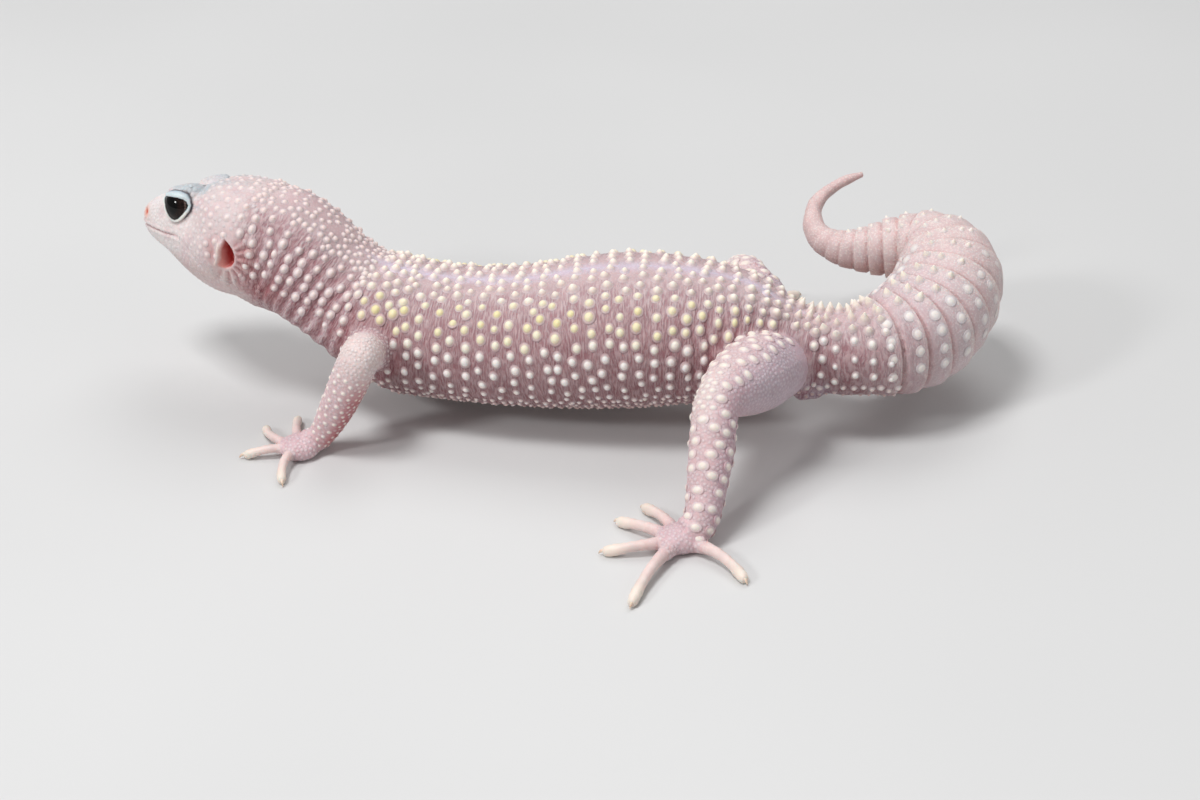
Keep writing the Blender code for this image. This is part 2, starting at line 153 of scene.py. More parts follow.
def squarish(sides: int, squareness: float) -> tuple[Array, Array]:
    """Points round a slightly squared circle of radius 1: across and up."""
    angle = math.tau * np.arange(sides) / sides
    return tuple(np.sign(way) * np.abs(way) ** (2 / squareness) for way in (np.cos(angle), np.sin(angle)))


def line_distance(points: Array, line: tuple) -> tuple[Array, Array]:
    """Distance of plane points from a broken line, and how far along it the nearest place lies.

    Args:
        points: pairs of numbers.
        line: the line's knots.

    Returns:
        The distances, and the places as knot numbers with their fractions.
    """
    knots = np.array(line, float)
    best, place = np.full(len(points), 1e9), np.zeros(len(points))
    for i, (start, end) in enumerate(zip(knots, knots[1:])):
        way = end - start
        share = np.clip((points - start) @ way / (way @ way), 0, 1)
        apart = np.linalg.norm(points - start - share[:, None] * way, axis=1)
        nearer = apart < best
        best[nearer], place[nearer] = apart[nearer], i + share[nearer]
    return best, place


def outline_distance(points: Array, outline: tuple) -> Array:
    """Distance of plane points from a closed outline, below 0 inside it.

    Args:
        points: pairs of numbers.
        outline: its corners in order.

    Returns:
        The distances.
    """
    distance, _ = line_distance(points, (*outline, outline[0]))
    inside = np.zeros(len(points), bool)
    knots = np.array(outline, float)
    for (x0, y0), (x1, y1) in zip(knots, np.roll(knots, -1, axis=0)):
        crosses = (y0 > points[:, 1]) != (y1 > points[:, 1])
        inside ^= crosses & (points[:, 0] < x0 + (x1 - x0) * (points[:, 1] - y0) / (y1 - y0 + 1e-12))
    return np.where(inside, -distance, distance)


# ---------------------------------------------------------------- handling meshes

def deselect() -> None:
    """Leaves nothing selected."""
    bpy.ops.object.select_all(action="DESELECT")


def select_only(*pieces: bpy.types.Object) -> None:
    """Selects these pieces and makes the first active.

    Args:
        pieces: the objects.
    """
    deselect()
    for piece in pieces:
        piece.select_set(True)
    bpy.context.view_layer.objects.active = pieces[0]


def apply_modifier(piece: bpy.types.Object, kind: str, **settings: object) -> None:
    """Adds one modifier to a piece and applies it.

    Args:
        piece: the object to change.
        kind: the modifier's type.
        settings: its values by name.
    """
    modifier = piece.modifiers.new(kind.title(), kind)
    for key, value in settings.items():
        setattr(modifier, key, value)
    select_only(piece)
    bpy.ops.object.modifier_apply(modifier=modifier.name)


def turn_outwards(piece: bpy.types.Object) -> None:
    """Turns all faces of a closed piece outwards.

    Args:
        piece: the object to change.
    """
    select_only(piece)
    bpy.ops.object.mode_set(mode="EDIT")
    bpy.ops.mesh.select_all(action="SELECT")
    bpy.ops.mesh.normals_make_consistent(inside=False)
    bpy.ops.object.mode_set(mode="OBJECT")


def piece_from(name: str, points: Array, faces: Array) -> bpy.types.Object:
    """A piece from places in metres and faces of equal size.

    Args:
        name: the piece's name.
        points: its points, in metres.
        faces: its faces, each as its points' numbers.

    Returns:
        The object.
    """
    mesh = bpy.data.meshes.new(name)
    mesh.from_pydata(points, [], faces)
    mesh.update()
    piece = bpy.data.objects.new(name, mesh)
    bpy.context.scene.collection.objects.link(piece)
    return piece


def points_of(piece: bpy.types.Object) -> Array:
    """The places of a piece's points.

    Args:
        piece: the object.

    Returns:
        One row for each point, in metres.
    """
    found = np.empty(len(piece.data.vertices) * 3, np.float32)
    piece.data.vertices.foreach_get("co", found)
    return found.reshape(-1, 3).astype(float)


def set_points(piece: bpy.types.Object, points: Array) -> None:
    """Moves a piece's points."""
    piece.data.vertices.foreach_set("co", points.astype(np.float32).ravel())
    piece.data.update()


def normals_of(piece: bpy.types.Object) -> Array:
    """The directions in which a piece faces at its points.

    Args:
        piece: the object.

    Returns:
        One row for each point.
    """
    found = np.empty(len(piece.data.vertices) * 3, np.float32)
    piece.data.vertex_normals.foreach_get("vector", found)
    return found.reshape(-1, 3).astype(float)


def triangles_of(piece: bpy.types.Object) -> Array:
    """The point numbers of a piece's triangles.

    Args:
        piece: the object.

    Returns:
        One row for each triangle.
    """
    piece.data.calc_loop_triangles()
    found = np.empty(len(piece.data.loop_triangles) * 3, np.int32)
    piece.data.loop_triangles.foreach_get("vertices", found)
    return found.reshape(-1, 3)


def set_colours(piece: bpy.types.Object, name: str, colours: Array) -> None:
    """Stores one linear colour for each point under a name.

    Args:
        piece: the object.
        name: the layer's name.
        colours: one row for each point.
    """
    layer = piece.data.color_attributes.new(name, "FLOAT_COLOR", "POINT")
    full = np.ones((len(colours), 4), np.float32)
    full[:, :3] = colours
    layer.data.foreach_set("color", full.ravel())


def set_vectors(piece: bpy.types.Object, name: str, vectors: Array) -> None:
    """Stores one vector for each point under a name."""
    layer = piece.data.attributes.new(name, "FLOAT_VECTOR", "POINT")
    layer.data.foreach_set("vector", vectors.astype(np.float32).ravel())


def shade_smooth(piece: bpy.types.Object) -> None:
    """Shades a piece smooth all over."""
    select_only(piece)
    bpy.ops.object.shade_smooth()


# ---------------------------------------------------------------- plans of the animal

@dataclass(frozen=True)
class BodyPlan:
    """Neck, trunk and tail as one line of sections: x, y, z, half width, rise, drop."""

    sections: tuple = (
        (-59.5, 5.8, 28.4, 8.6, 6.8, 9.0), (-57.4, 5.0, 28.0, 9.4, 9.0, 11.2),
        (-52.0, 3.8, 26.8, 9.9, 11.0, 12.0), (-47.7, 2.8, 24.5, 10.0, 10.9, 10.9),
        (-42.8, 1.8, 20.9, 10.2, 10.2, 9.4), (-38.8, 1.2, 18.2, 11.2, 10.3, 9.0),
        (-34.4, 0.6, 16.3, 12.6, 10.8, 10.0), (-28.5, 0.2, 14.9, 13.4, 11.0, 11.4),
        (-21.0, -0.2, 14.6, 14.0, 10.6, 11.2), (-12.6, -0.5, 14.8, 14.6, 10.8, 11.5),
        (-3.8, -0.5, 15.6, 15.0, 11.2, 12.2), (5.0, -0.2, 16.9, 15.2, 12.0, 13.3),
        (13.6, 0.2, 17.6, 15.0, 12.0, 13.2), (22.3, 0.7, 17.6, 14.0, 11.4, 12.2),
        (30.0, 1.0, 17.2, 12.0, 9.9, 11.0), (37.0, 0.9, 15.8, 9.0, 7.2, 9.0),
        (42.5, 0.8, 15.0, 7.5, 6.9, 7.8), (48.2, 0.9, 15.0, 7.5, 7.2, 7.6),
        (53.9, 3.3, 15.3, 8.4, 8.4, 8.4), (59.1, 7.9, 15.8, 9.2, 9.2, 9.2),
        (62.6, 13.8, 17.1, 9.4, 9.4, 9.4), (64.4, 21.0, 18.9, 9.3, 9.3, 9.3),
        (62.9, 27.0, 20.2, 8.3, 8.3, 8.3), (59.9, 30.4, 20.6, 7.0, 7.0, 7.0),
        (56.2, 31.5, 20.4, 5.9, 5.9, 5.9), (52.2, 31.4, 20.0, 4.95, 4.95, 4.95),
        (48.8, 31.4, 19.6, 4.1, 4.1, 4.1), (45.3, 31.8, 19.5, 3.3, 3.3, 3.3),
        (42.0, 33.0, 20.1, 2.6, 2.6, 2.6), (40.0, 34.7, 21.3, 2.1, 2.1, 2.1),
        (39.3, 36.5, 22.8, 1.75, 1.75, 1.75), (39.4, 38.3, 24.3, 1.45, 1.45, 1.45),
        (40.5, 40.1, 25.5, 1.25, 1.25, 1.25), (42.4, 42.0, 26.6, 1.05, 1.05, 1.05),
        (44.9, 43.6, 27.7, 0.9, 0.9, 0.9), (48.0, 44.9, 28.5, 0.55, 0.55, 0.55),
    )
    squareness: float = 2.25
    sides: int = 48
    steps: int = 8
    vent: tuple = ((41.2, 0.4, 10.2), (5.0, 5.6, 4.6))


@dataclass(frozen=True)
class HeadPlan:
    """The head in its own frame: forward from the nape, left, up."""

    nape: tuple = (-53.6, 4.0, 30.5)
    yaw: float = 20.0
    pitch: float = -4.5
    roll: float = 11.5
    # forward, height of the middle, half width, rise, drop
    sections: tuple = (
        (-4.0, -0.8, 8.6, 7.0, 10.5), (0.0, -0.6, 10.0, 8.2, 12.6), (4.5, -0.4, 10.5, 8.2, 12.8),
        (9.0, -0.3, 9.9, 7.8, 12.7), (13.0, -0.2, 8.6, 6.2, 11.7), (16.5, -0.2, 7.4, 5.3, 9.9),
        (20.0, -0.4, 6.2, 4.6, 7.3), (23.2, -0.6, 5.0, 3.7, 5.6), (25.2, -0.9, 3.7, 2.8, 4.3),
        (26.3, -1.1, 2.5, 2.0, 3.0), (26.8, -1.2, 1.3, 1.0, 1.6), (26.95, -1.25, 0.4, 0.3, 0.5),
    )
    lumps: tuple = (
        ((12.6, 4.7, 4.4), (6.6, 2.6, 2.1)),     # brow
        ((14.9, 4.6, 2.5), (4.8, 3.1, 3.5)),     # orbit
        ((5.0, 6.4, -2.6), (6.6, 4.6, 5.6)),     # cheek
    )
    packed_eye: tuple = (15.0, 4.4, 2.7)
    eye: tuple = (15.4, 4.9, 2.75)
    eye_radius: float = 3.25
    # The lid opening, unrolled on the eye's ball: forward and up from its outermost point.
    opening: tuple = ((3.35, 1.75), (1.9, 1.78), (0.75, 1.85), (-0.75, 1.85), (-1.9, 1.65), (-2.5, 1.25),
                      (-2.8, 0.6), (-2.55, -0.1), (-1.8, -1.0), (-0.8, -1.9), (0.1, -2.3), (0.65, -2.2),
                      (1.0, -1.7), (1.3, -0.8), (1.75, 0.35), (2.35, 1.05))
    # Seen from the side: forward and up.
    mouth: tuple = ((27.4, -2.2), (25.2, -2.2), (23.8, -2.25), (21.6, -2.4), (19.1, -2.5), (16.9, -2.4),
                    (15.5, -2.45), (14.1, -2.75), (13.0, -3.3), (12.0, -3.9), (10.9, -4.7))
    ear: tuple = ((2.6, -0.7), (1.8, -1.5), (1.2, -2.4), (0.95, -3.5), (1.15, -4.6), (1.9, -5.5),
                  (3.0, -5.9), (4.3, -5.8), (4.0, -5.0), (3.5, -4.2), (3.3, -3.2), (3.1, -2.0))
    ear_fold: tuple = ((3.5, -1.6), (3.75, -2.6), (3.8, -3.6), (4.1, -4.5), (4.9, -5.5))
    nostril: tuple = (25.3, 2.5, -0.35)
    nostril_way: tuple = (-0.445, 0.842, 0.305)


@dataclass(frozen=True)
class LegPlan:
    """One leg: its line from the body out, its radii, and its sole and digits."""

    side: int              # -1 on the animal's left, 1 on its right
    ends: tuple            # names of the foot and of the side
    line: tuple            # root, upper length, elbow or knee, lower length, wrist or ankle
    sole: tuple
    radii: tuple           # one for each point of the line, and the sole's thickness
    sole_reach: tuple
    girth: float
    turn: float
    fan: tuple             # each digit: its direction halfway and at its tip, and its length
    digit_height: float = 0.85
    claw_length: float = 1.5
    digit_steps: tuple = ((0.15, 0.65, 1.42), (0.36, 0.95, 1.06), (0.56, 0.95, 0.93), (0.74, 0.62, 0.90),
                          (0.88, 0.25, 1.0), (1.0, -0.05, 0.80))

    def on_floor(self, angle: float, distance: float, height: float) -> Array:
        """A place over the floor, by a direction from straight ahead outwards and a distance.

        Args:
            angle: degrees outwards from straight ahead.
            distance: millimetres from the sole.
            height: millimetres over the floor.

        Returns:
            The place.
        """
        turned = math.radians(angle + self.turn)
        return np.array((self.sole[0] - distance * math.cos(turned),
                         self.sole[1] + self.side * distance * math.sin(turned), height))

    def along_digit(self, digit: tuple, share: float, lift: float = 0.0) -> Array:
        """A place on a digit's middle line, from the sole at 0 to the claw's tip at 1.

        Args:
            digit: its directions and its length.
            share: how far along it.
            lift: millimetres over the line.

        Returns:
            The place.
        """
        halfway, tip, length = digit
        return self.on_floor(halfway + (tip - halfway) * (2 * share - 1), length * share,
                             self.digit_height + lift)

    @cached_property
    def lines(self) -> tuple[Array, Array]:
        """Fine rows of x, y, z and radius of the whole leg, and their places by knot.

        Returns:
            The rows and the places.
        """
        rows = catmull_rom(self.shank_rows(), 8)
        lines, places = [rows], [np.arange(len(rows)) / 8]
        for digit in self.fan:
            some = catmull_rom(self.digit_rows(digit), 4)
            lines.append(some)
            places.append(5 + np.linspace(0.15, 1, len(some)))
        return (np.vstack((*lines, ((*self.sole, self.sole_reach[1]),))),
                np.concatenate((*places, (5.0,))))

    def shank_rows(self) -> list:
        """The leg's rows of x, y, z and radius, down into the sole.

        Returns:
            The rows.
        """
        ankle, sole = np.array(self.line[-1]), np.array(self.sole)
        rows = [(*place, radius) for place, radius in zip(self.line, self.radii)]
        return rows + [(*(ankle + 0.7 * (sole - ankle)), 0.85 * rows[-1][3])]

    def digit_rows(self, digit: tuple) -> list:
        """A digit's rows of x, y, z and radius, from the sole to its fleshy end.

        Args:
            digit: its directions and its length.

        Returns:
            The rows.
        """
        flesh = 1 - self.claw_length / digit[2]
        return [(*self.along_digit(digit, share * (flesh + 0.02), lift), self.girth * radius)
                for share, lift, radius in self.digit_steps]


class Foot(Enum):
    """Which pair a leg belongs to."""

    HAND = "hand"
    FOOT = "foot"


HAND_FAN = ((-107, -110, 10.2), (-70, -75, 12.4), (-24, -46, 11.6), (18, 15, 10.8), (76, 90, 11.4))
FOOT_FAN = ((-59, -53, 13.4), (-23, -26, 13.2), (26, 17, 13.8), (69, 73, 19.8), (150, 140, 15.6))
HAND_RADII, FOOT_RADII = (4.6, 3.9, 3.6, 3.45, 2.5, 2.0), (6.2, 6.6, 4.2, 3.9, 3.0, 2.1)
LEGS = (
    LegPlan(-1, (Foot.HAND, "left"),
            ((-33.5, -7.5, 14.5), (-33.4, -14.5, 16.8), (-32.8, -20.4, 19.2), (-36.1, -20.4, 11.6),
             (-40.3, -19.8, 3.5)), (-43.9, -21.9, 1.7), HAND_RADII, (3.5, 3.2), 0.86, 0.0, HAND_FAN),
    LegPlan(1, (Foot.HAND, "right"),
            ((-33.0, 8.0, 14.0), (-29.6, 13.4, 13.2), (-26.6, 17.8, 12.6), (-31.2, 23.6, 8.2),
             (-35.4, 28.4, 3.5)), (-38.0, 30.6, 1.7), HAND_RADII, (3.5, 3.2), 0.86, 28.0, HAND_FAN),
    LegPlan(-1, (Foot.FOOT, "left"),
            ((36.2, -6.5, 15.5), (32.4, -15.0, 17.6), (28.0, -25.0, 18.0), (27.5, -31.6, 11.9),
             (26.8, -39.0, 4.1)), (23.7, -41.2, 1.8), FOOT_RADII, (4.1, 3.3), 1.0, 0.0, FOOT_FAN),
    LegPlan(1, (Foot.FOOT, "right"),
            ((33.4, 7.0, 13.4), (30.2, 15.4, 15.2), (27.8, 23.0, 16.6), (27.4, 30.6, 11.0),
             (27.4, 39.0, 4.1)), (24.4, 41.4, 1.8), FOOT_RADII, (4.1, 3.3), 1.0, 9.0, FOOT_FAN),
)


# ---------------------------------------------------------------- the body's and head's frames

@dataclass
class BodyPlaces:
    """Where points lie on the body: along it, round it, and how far out."""

    travelled: Array       # millimetres from the first section
    section: Array
    angle: Array           # degrees round it: 0 left, 90 back, 180 right, -90 belly
    radius: Array          # millimetres from the middle line
    share: Array           # radius as a share of the section's reach
    across: Array          # millimetres to the left of the middle line

    @property
    def height(self) -> Array:
        """Degrees above the flank on either side: 90 on the back, -90 on the belly."""
        return 90 - np.abs((self.angle - 90 + 180) % 360 - 180)

    @property
    def arc(self) -> Array:
        """Millimetres round the body from the left flank."""
        return np.radians(self.angle) * self.radius


class BodyLine:
    """The body's middle line in fine steps, with its axes and reach."""

    def __init__(self, plan: BodyPlan) -> None:
        """Works out the line of a plan.

        Args:
            plan: the body's sections.
        """
        rows = catmull_rom(plan.sections, plan.steps)
        self.centre, self.reach = rows[:, :3], rows[:, 3:]
        self.along = unit(np.gradient(self.centre, axis=0))
        self.side = unit(np.cross(self.along, (0.0, 0.0, 1.0)))
        self.up = np.cross(self.side, self.along)
        steps = np.linalg.norm(np.diff(self.centre, axis=0), axis=1)
        self.travelled = np.concatenate(((0.0,), np.cumsum(steps)))
        self.section = np.arange(len(rows)) / plan.steps
        self.plan = plan

    def distance_to(self, section: float) -> float:
        """Millimetres along the line to a section."""
        return float(np.interp(section, self.section, self.travelled))

    def rings(self) -> Array:
        """The rings of the body's tube.

        Returns:
            One ring of points for each step.
        """
        c, s = squarish(self.plan.sides, self.plan.squareness)
        width, rise, drop = (self.reach[:, i, None, None] for i in range(3))
        high = np.where(s[None, :, None] > 0, rise, drop)
        return (self.centre[:, None] + self.side[:, None] * c[None, :, None] * width
                + self.up[:, None] * s[None, :, None] * high)

    def locate(self, points: Array) -> BodyPlaces:
        """Finds where points lie on the body.

        Args:
            points: places in millimetres.

        Returns:
            Their places along and round the body.
        """
        nearest = np.empty(len(points), int)
        line = self.centre.astype(np.float32)
        for first in range(0, len(points), 20000):
            some = points[first:first + 20000].astype(np.float32)
            apart = (some ** 2).sum(1)[:, None] - 2 * some @ line.T + (line ** 2).sum(1)
            nearest[first:first + 20000] = apart.argmin(axis=1)
        offset = points - self.centre[nearest]
        forward = (offset * self.along[nearest]).sum(axis=1)
        across = (offset * self.side[nearest]).sum(axis=1)
        above = (offset * self.up[nearest]).sum(axis=1)
        width, rise, drop = self.reach[nearest].T
        share = np.hypot(across / width, above / np.where(above > 0, rise, drop))
        travelled = self.travelled[nearest] + forward
        return BodyPlaces(travelled, np.interp(travelled, self.travelled, self.section),
                          np.degrees(np.arctan2(above, across)), np.hypot(across, above), share, across)

    def frame_at(self, travelled: float) -> tuple[Array, Array, Array]:
        """The middle, the left and the up of the body at a distance along it."""
        return tuple(np.array([np.interp(travelled, self.travelled, column) for column in rows.T])
                     for rows in (self.centre, self.side, self.up))

    def ring_at(self, travelled: float) -> tuple:
        """Middle, left, up, section and widest reach of the body at a place along it."""
        return (*self.frame_at(travelled), float(np.interp(travelled, self.travelled, self.section)),
                float(np.interp(travelled, self.travelled, self.reach.max(axis=1))))


class HeadFrame:
    """Turns places between the animal's frame and the head's own."""

    def __init__(self, plan: HeadPlan) -> None:
        """Works out the head's axes.

        Args:
            plan: the head's turns and sizes.
        """
        yaw, pitch, roll = (math.radians(angle) for angle in (plan.yaw, plan.pitch, plan.roll))
        forward = np.array((-math.cos(yaw) * math.cos(pitch), math.sin(yaw) * math.cos(pitch),
                            math.sin(pitch)))
        left = np.array((-math.sin(yaw), -math.cos(yaw), 0.0))
        up = np.cross(forward, left)
        left, up = (left * math.cos(roll) + up * math.sin(roll),
                    up * math.cos(roll) - left * math.sin(roll))
        self.axes = np.array((forward, left, up))
        self.nape = np.array(plan.nape)
        self.plan = plan

    def inside(self, points: Array) -> Array:
        """Places in the head's frame."""
        return (points - self.nape) @ self.axes.T

    def outside(self, points: Array) -> Array:
        """Places of the head's frame in the animal's frame."""
        return np.asarray(points) @ self.axes + self.nape

    def share(self, local: Array) -> Array:
        """How far out of the skull places lie, as a share of its reach there.

        Args:
            local: places in the head's frame.

        Returns:
            The shares, 1 on its surface.
        """
        rows = catmull_rom(self.plan.sections, 4)
        middle, width, rise, drop = (np.interp(local[:, 0], rows[:, 0], rows[:, i]) for i in range(1, 5))
        above = local[:, 2] - middle
        ends = smoothstep(local[:, 0], -1.0, -6.0) * 2
        return np.hypot(local[:, 1] / width, above / np.where(above > 0, rise, drop)) + ends


# ---------------------------------------------------------------- finishes

class Nodes:
    """Builds one material's nodes."""

    def __init__(self, name: str) -> None:
        """Starts a material with only its shader and output.

        Args:
            name: the material's name.
        """
        self.material = bpy.data.materials.new(name)
        self.material.use_nodes = True
        self.tree = self.material.node_tree
        self.shader = self.tree.nodes["Principled BSDF"]

    def add(self, kind: str, settings: dict | None = None, **inputs: object) -> bpy.types.Node:
        """Adds a node.

        Args:
            kind: the node's type, without its ShaderNode prefix.
            settings: values of the node itself by name.
            inputs: a value, or an output to link, for each input, spaces written as underscores.

        Returns:
            The node.
        """
        node = self.tree.nodes.new("ShaderNode" + kind)
        for key, value in (settings or {}).items():
            setattr(node, key, value)
        for key, value in inputs.items():
            self.feed(node.inputs[key.replace("_", " ")], value)
        return node

    def feed(self, socket: bpy.types.NodeSocket, value: object) -> None:
        """Sets a socket or links an output to it.

        Args:
            socket: the input.
            value: a value, or an output to link.
        """
        if isinstance(value, bpy.types.NodeSocket):
            self.tree.links.new(value, socket)
        else:
            socket.default_value = value

    def set(self, **inputs: object) -> None:
        """Sets or links inputs of the shader."""
        for key, value in inputs.items():
            self.feed(self.shader.inputs[key.replace("_", " ")], value)

    def math(self, operation: str, *values: object) -> bpy.types.NodeSocket:
        """A Math node's result.

        Args:
            operation: the node's operation.
            values: its inputs.

        Returns:
            The result.
        """
        node = self.add("Math", {"operation": operation})
        for socket, value in zip(node.inputs, values):
            self.feed(socket, value)
        return node.outputs[0]

    def noise(self, scale: float, detail: float) -> bpy.types.NodeSocket:
        """A soft pattern on the piece's own places."""
        place = self.add("TexCoord").outputs["Object"]
        return self.add("TexNoise", Vector=place, Scale=scale, Detail=detail).outputs["Fac"]

    def attribute(self, name: str) -> bpy.types.Node:
        """Reads a stored attribute."""
        return self.add("Attribute", {"attribute_name": name})

    def mix(self, factor: object, first: object, second: object, way: str = "MIX") -> bpy.types.NodeSocket:
        """A colour between two.

        Args:
            factor: the second colour's share.
            first: one colour.
            second: the other.
            way: how they are mixed.

        Returns:
            The colour.
        """
        node = self.add("Mix", {"data_type": "RGBA", "blend_type": way, "clamp_factor": True})
        for socket, value in zip((node.inputs[0], node.inputs[6], node.inputs[7]), (factor, first, second)):
            self.feed(socket, value)
        return node.outputs[2]

    def ramp(self, value: object, low: float, high: float, start: float = 0.0,
             end: float = 1.0) -> bpy.types.NodeSocket:
        """A value mapped softly from one range to another.

        Args:
            value: what is mapped.
            low: where its range starts.
            high: where it ends.
            start: the result at its start.
            end: the result at its end.

        Returns:
            The result.
        """
        node = self.add("MapRange", {"interpolation_type": "SMOOTHSTEP"})
        for socket, number in zip(node.inputs, (value, low, high, start, end)):
            self.feed(socket, number)
        return node.outputs[0]


@dataclass(frozen=True)
class SkinFinish:
    """Thin, soft, finely granular skin with fine upright pleats on the flanks."""

    grain: float = 2500.0          # granules in a metre
    grain_height: float = 0.05     # millimetres
    pleat_height: float = 0.11
    roughness: float = 0.56

    def build(self) -> bpy.types.Material:
        """Makes the material from the skin's own colours, masks and lay.

        Returns:
            The material.
        """
        nodes = Nodes("skin_finish")
        place = nodes.add("TexCoord").outputs["Object"]
        tint = nodes.attribute("tint").outputs["Color"]
        masks = nodes.add("SeparateColor", Color=nodes.attribute("mark").outputs["Color"])
        pleats, grains, bare = masks.outputs
        lay = nodes.add("VectorMath", {"operation": "MULTIPLY"})
        nodes.feed(lay.inputs[0], nodes.attribute("lay").outputs["Vector"])
        lay.inputs[1].default_value = (3.5, 0.62, 1.0)
        pleat = nodes.add("TexNoise", Vector=lay.outputs[0], Scale=1.0, Detail=2.5, Roughness=0.55)
        pleat_rise = nodes.ramp(pleat.outputs["Fac"], 0.36, 0.64)
        grain = nodes.add("TexVoronoi", {"feature": "SMOOTH_F1"}, Vector=place, Scale=self.grain,
                          Smoothness=0.35)
        grain_rise = nodes.ramp(grain.outputs["Distance"], 0.62, 0.12)
        mottle = nodes.noise(420.0, 3.0)
        # painted shade in the furrows between the pleats and in the gaps between the granules
        furrow = nodes.math("MULTIPLY", nodes.math("SUBTRACT", 1.0, pleat_rise), pleats)
        gap = nodes.math("MULTIPLY", nodes.math("SUBTRACT", 1.0, grain_rise), grains)
        painted_shade = nodes.mix(1.0, tint, (0.66, 0.45, 0.50, 1.0), "MULTIPLY")
        colour = nodes.mix(nodes.math("MULTIPLY", furrow, 0.85), tint, painted_shade)
        colour = nodes.mix(nodes.math("MULTIPLY", gap, 0.55), colour, painted_shade)
        # painted highlight on the pleats' crests, and paler clouds of the skin's own mottle
        mottle_and_highlight = nodes.mix(0.28, tint, (0.93, 0.84, 0.84, 1.0))
        crest = nodes.math("MULTIPLY", nodes.math("MULTIPLY", pleat_rise, pleats), 0.38)
        colour = nodes.mix(crest, colour, mottle_and_highlight)
        clouds = nodes.math("MULTIPLY", nodes.ramp(mottle, 0.35, 0.7, 0.0, 0.22),
                            nodes.math("SUBTRACT", 1.0, bare))
        colour = nodes.mix(clouds, colour, mottle_and_highlight)
        rise = nodes.math("ADD", nodes.math("MULTIPLY", nodes.math("MULTIPLY", pleat_rise, pleats),
                                            self.pleat_height),
                          nodes.math("MULTIPLY", nodes.math("MULTIPLY", grain_rise, grains),
                                     self.grain_height))
        bump = nodes.add("Bump", Height=rise, Distance=MM, Strength=0.9)
        sheen = nodes.ramp(bare, 0.0, 1.0, self.roughness, 0.38)
        nodes.set(Base_Color=colour, Roughness=sheen, Normal=bump.outputs[0], Specular_IOR_Level=0.42,
                  Subsurface_Weight=0.22, Subsurface_Radius=(1.0, 0.36, 0.28), Subsurface_Scale=0.0014)
        return nodes.material


@dataclass(frozen=True)
class TubercleFinish:
    """Smooth, faintly waxy scale horn in each tubercle's own colours."""

    roughness: float = 0.44

    def build(self) -> bpy.types.Material:
        """Makes the material from the coat's own colours.

        Returns:
            The material.
        """
        nodes = Nodes("tubercle_finish")
        tint = nodes.attribute("tint").outputs["Color"]
        speck = nodes.noise(2600.0, 2.0)
        colour = nodes.mix(nodes.ramp(speck, 0.4, 0.75, 0.0, 0.3), tint,
                           nodes.mix(1.0, tint, (0.88, 0.80, 0.78, 1.0), "MULTIPLY"))
        bump = nodes.add("Bump", Height=nodes.math("MULTIPLY", speck, 0.03), Distance=MM,
                         Strength=0.5)
        nodes.set(Base_Color=colour, Roughness=nodes.ramp(speck, 0.3, 0.7,
                                                          self.roughness, self.roughness + 0.12),
                  Normal=bump.outputs[0], Specular_IOR_Level=0.42,
                  Subsurface_Weight=0.2, Subsurface_Radius=(1.0, 0.5, 0.35), Subsurface_Scale=0.001)
        return nodes.material


@dataclass(frozen=True)
class EyeFinish:
    """A wet, almost black eye with a dark brown iris."""

    roughness: float = 0.05

    def build(self) -> bpy.types.Material:
        """Makes the material from the eye's own colours.

        Returns:
            The material.
        """
        nodes = Nodes("eye_finish")
        fibre = nodes.noise(3200.0, 4.0)
        tint = nodes.attribute("tint").outputs["Color"]
        dark = nodes.mix(1.0, tint, (0.35, 0.3, 0.3, 1.0), "MULTIPLY")
        nodes.set(Base_Color=nodes.mix(nodes.ramp(fibre, 0.4, 0.65), dark, tint),
                  Roughness=nodes.ramp(fibre, 0.3, 0.7, self.roughness, self.roughness + 0.03),
                  Specular_IOR_Level=0.2, Coat_Weight=0.05, Coat_Roughness=0.02)
        return nodes.material


@dataclass(frozen=True)
class ClawFinish:
    """Pale, slightly clear horn, streaked along the claw."""

    def build(self) -> bpy.types.Material:
        """Makes the material from the claw's own colours.

        Returns:
            The material.
        """
        nodes = Nodes("claw_finish")
        streak = nodes.noise(3000.0, 3.0)
        tint = nodes.attribute("tint").outputs["Color"]
        colour = nodes.mix(nodes.ramp(streak, 0.35, 0.7, 0.0, 0.5), tint,
                           nodes.mix(1.0, tint, (0.8, 0.66, 0.56, 1.0), "MULTIPLY"))
        nodes.set(Base_Color=colour, Roughness=nodes.ramp(streak, 0.3, 0.7, 0.25, 0.4),
                  Specular_IOR_Level=0.5, Subsurface_Weight=0.3, Subsurface_Radius=(1.0, 0.6, 0.4),
                  Subsurface_Scale=0.0006)
        return nodes.material


@dataclass(frozen=True)
class EardrumFinish:
    """A thin, moist, deep red membrane."""

    def build(self) -> bpy.types.Material:
        """Makes the material.

        Returns:
            The material.
        """
        nodes = Nodes("eardrum_finish")
        vein = nodes.noise(1500.0, 4.0)
        colour = nodes.mix(nodes.ramp(vein, 0.35, 0.65), (0.20, 0.018, 0.016, 1.0),
                           (0.42, 0.07, 0.06, 1.0))
        bump = nodes.add("Bump", Height=nodes.math("MULTIPLY", vein, 0.08), Distance=MM)
        nodes.set(Base_Color=colour, Roughness=nodes.ramp(vein, 0.3, 0.7, 0.22, 0.4),
                  Normal=bump.outputs[0])
        return nodes.material


@dataclass(frozen=True)
class FloorFinish:
    """A plain pale studio floor."""

    def build(self) -> bpy.types.Material:
        """Makes the material.

        Returns:
            The material.
        """
        nodes = Nodes("floor_finish")
        cloud = nodes.noise(6.0, 2.0)
        nodes.set(Base_Color=nodes.mix(nodes.ramp(cloud, 0.3, 0.7), (0.60, 0.60, 0.60, 1.0),
                                       (0.63, 0.63, 0.63, 1.0)), Roughness=0.6)
        return nodes.material


# ---------------------------------------------------------------- the skin

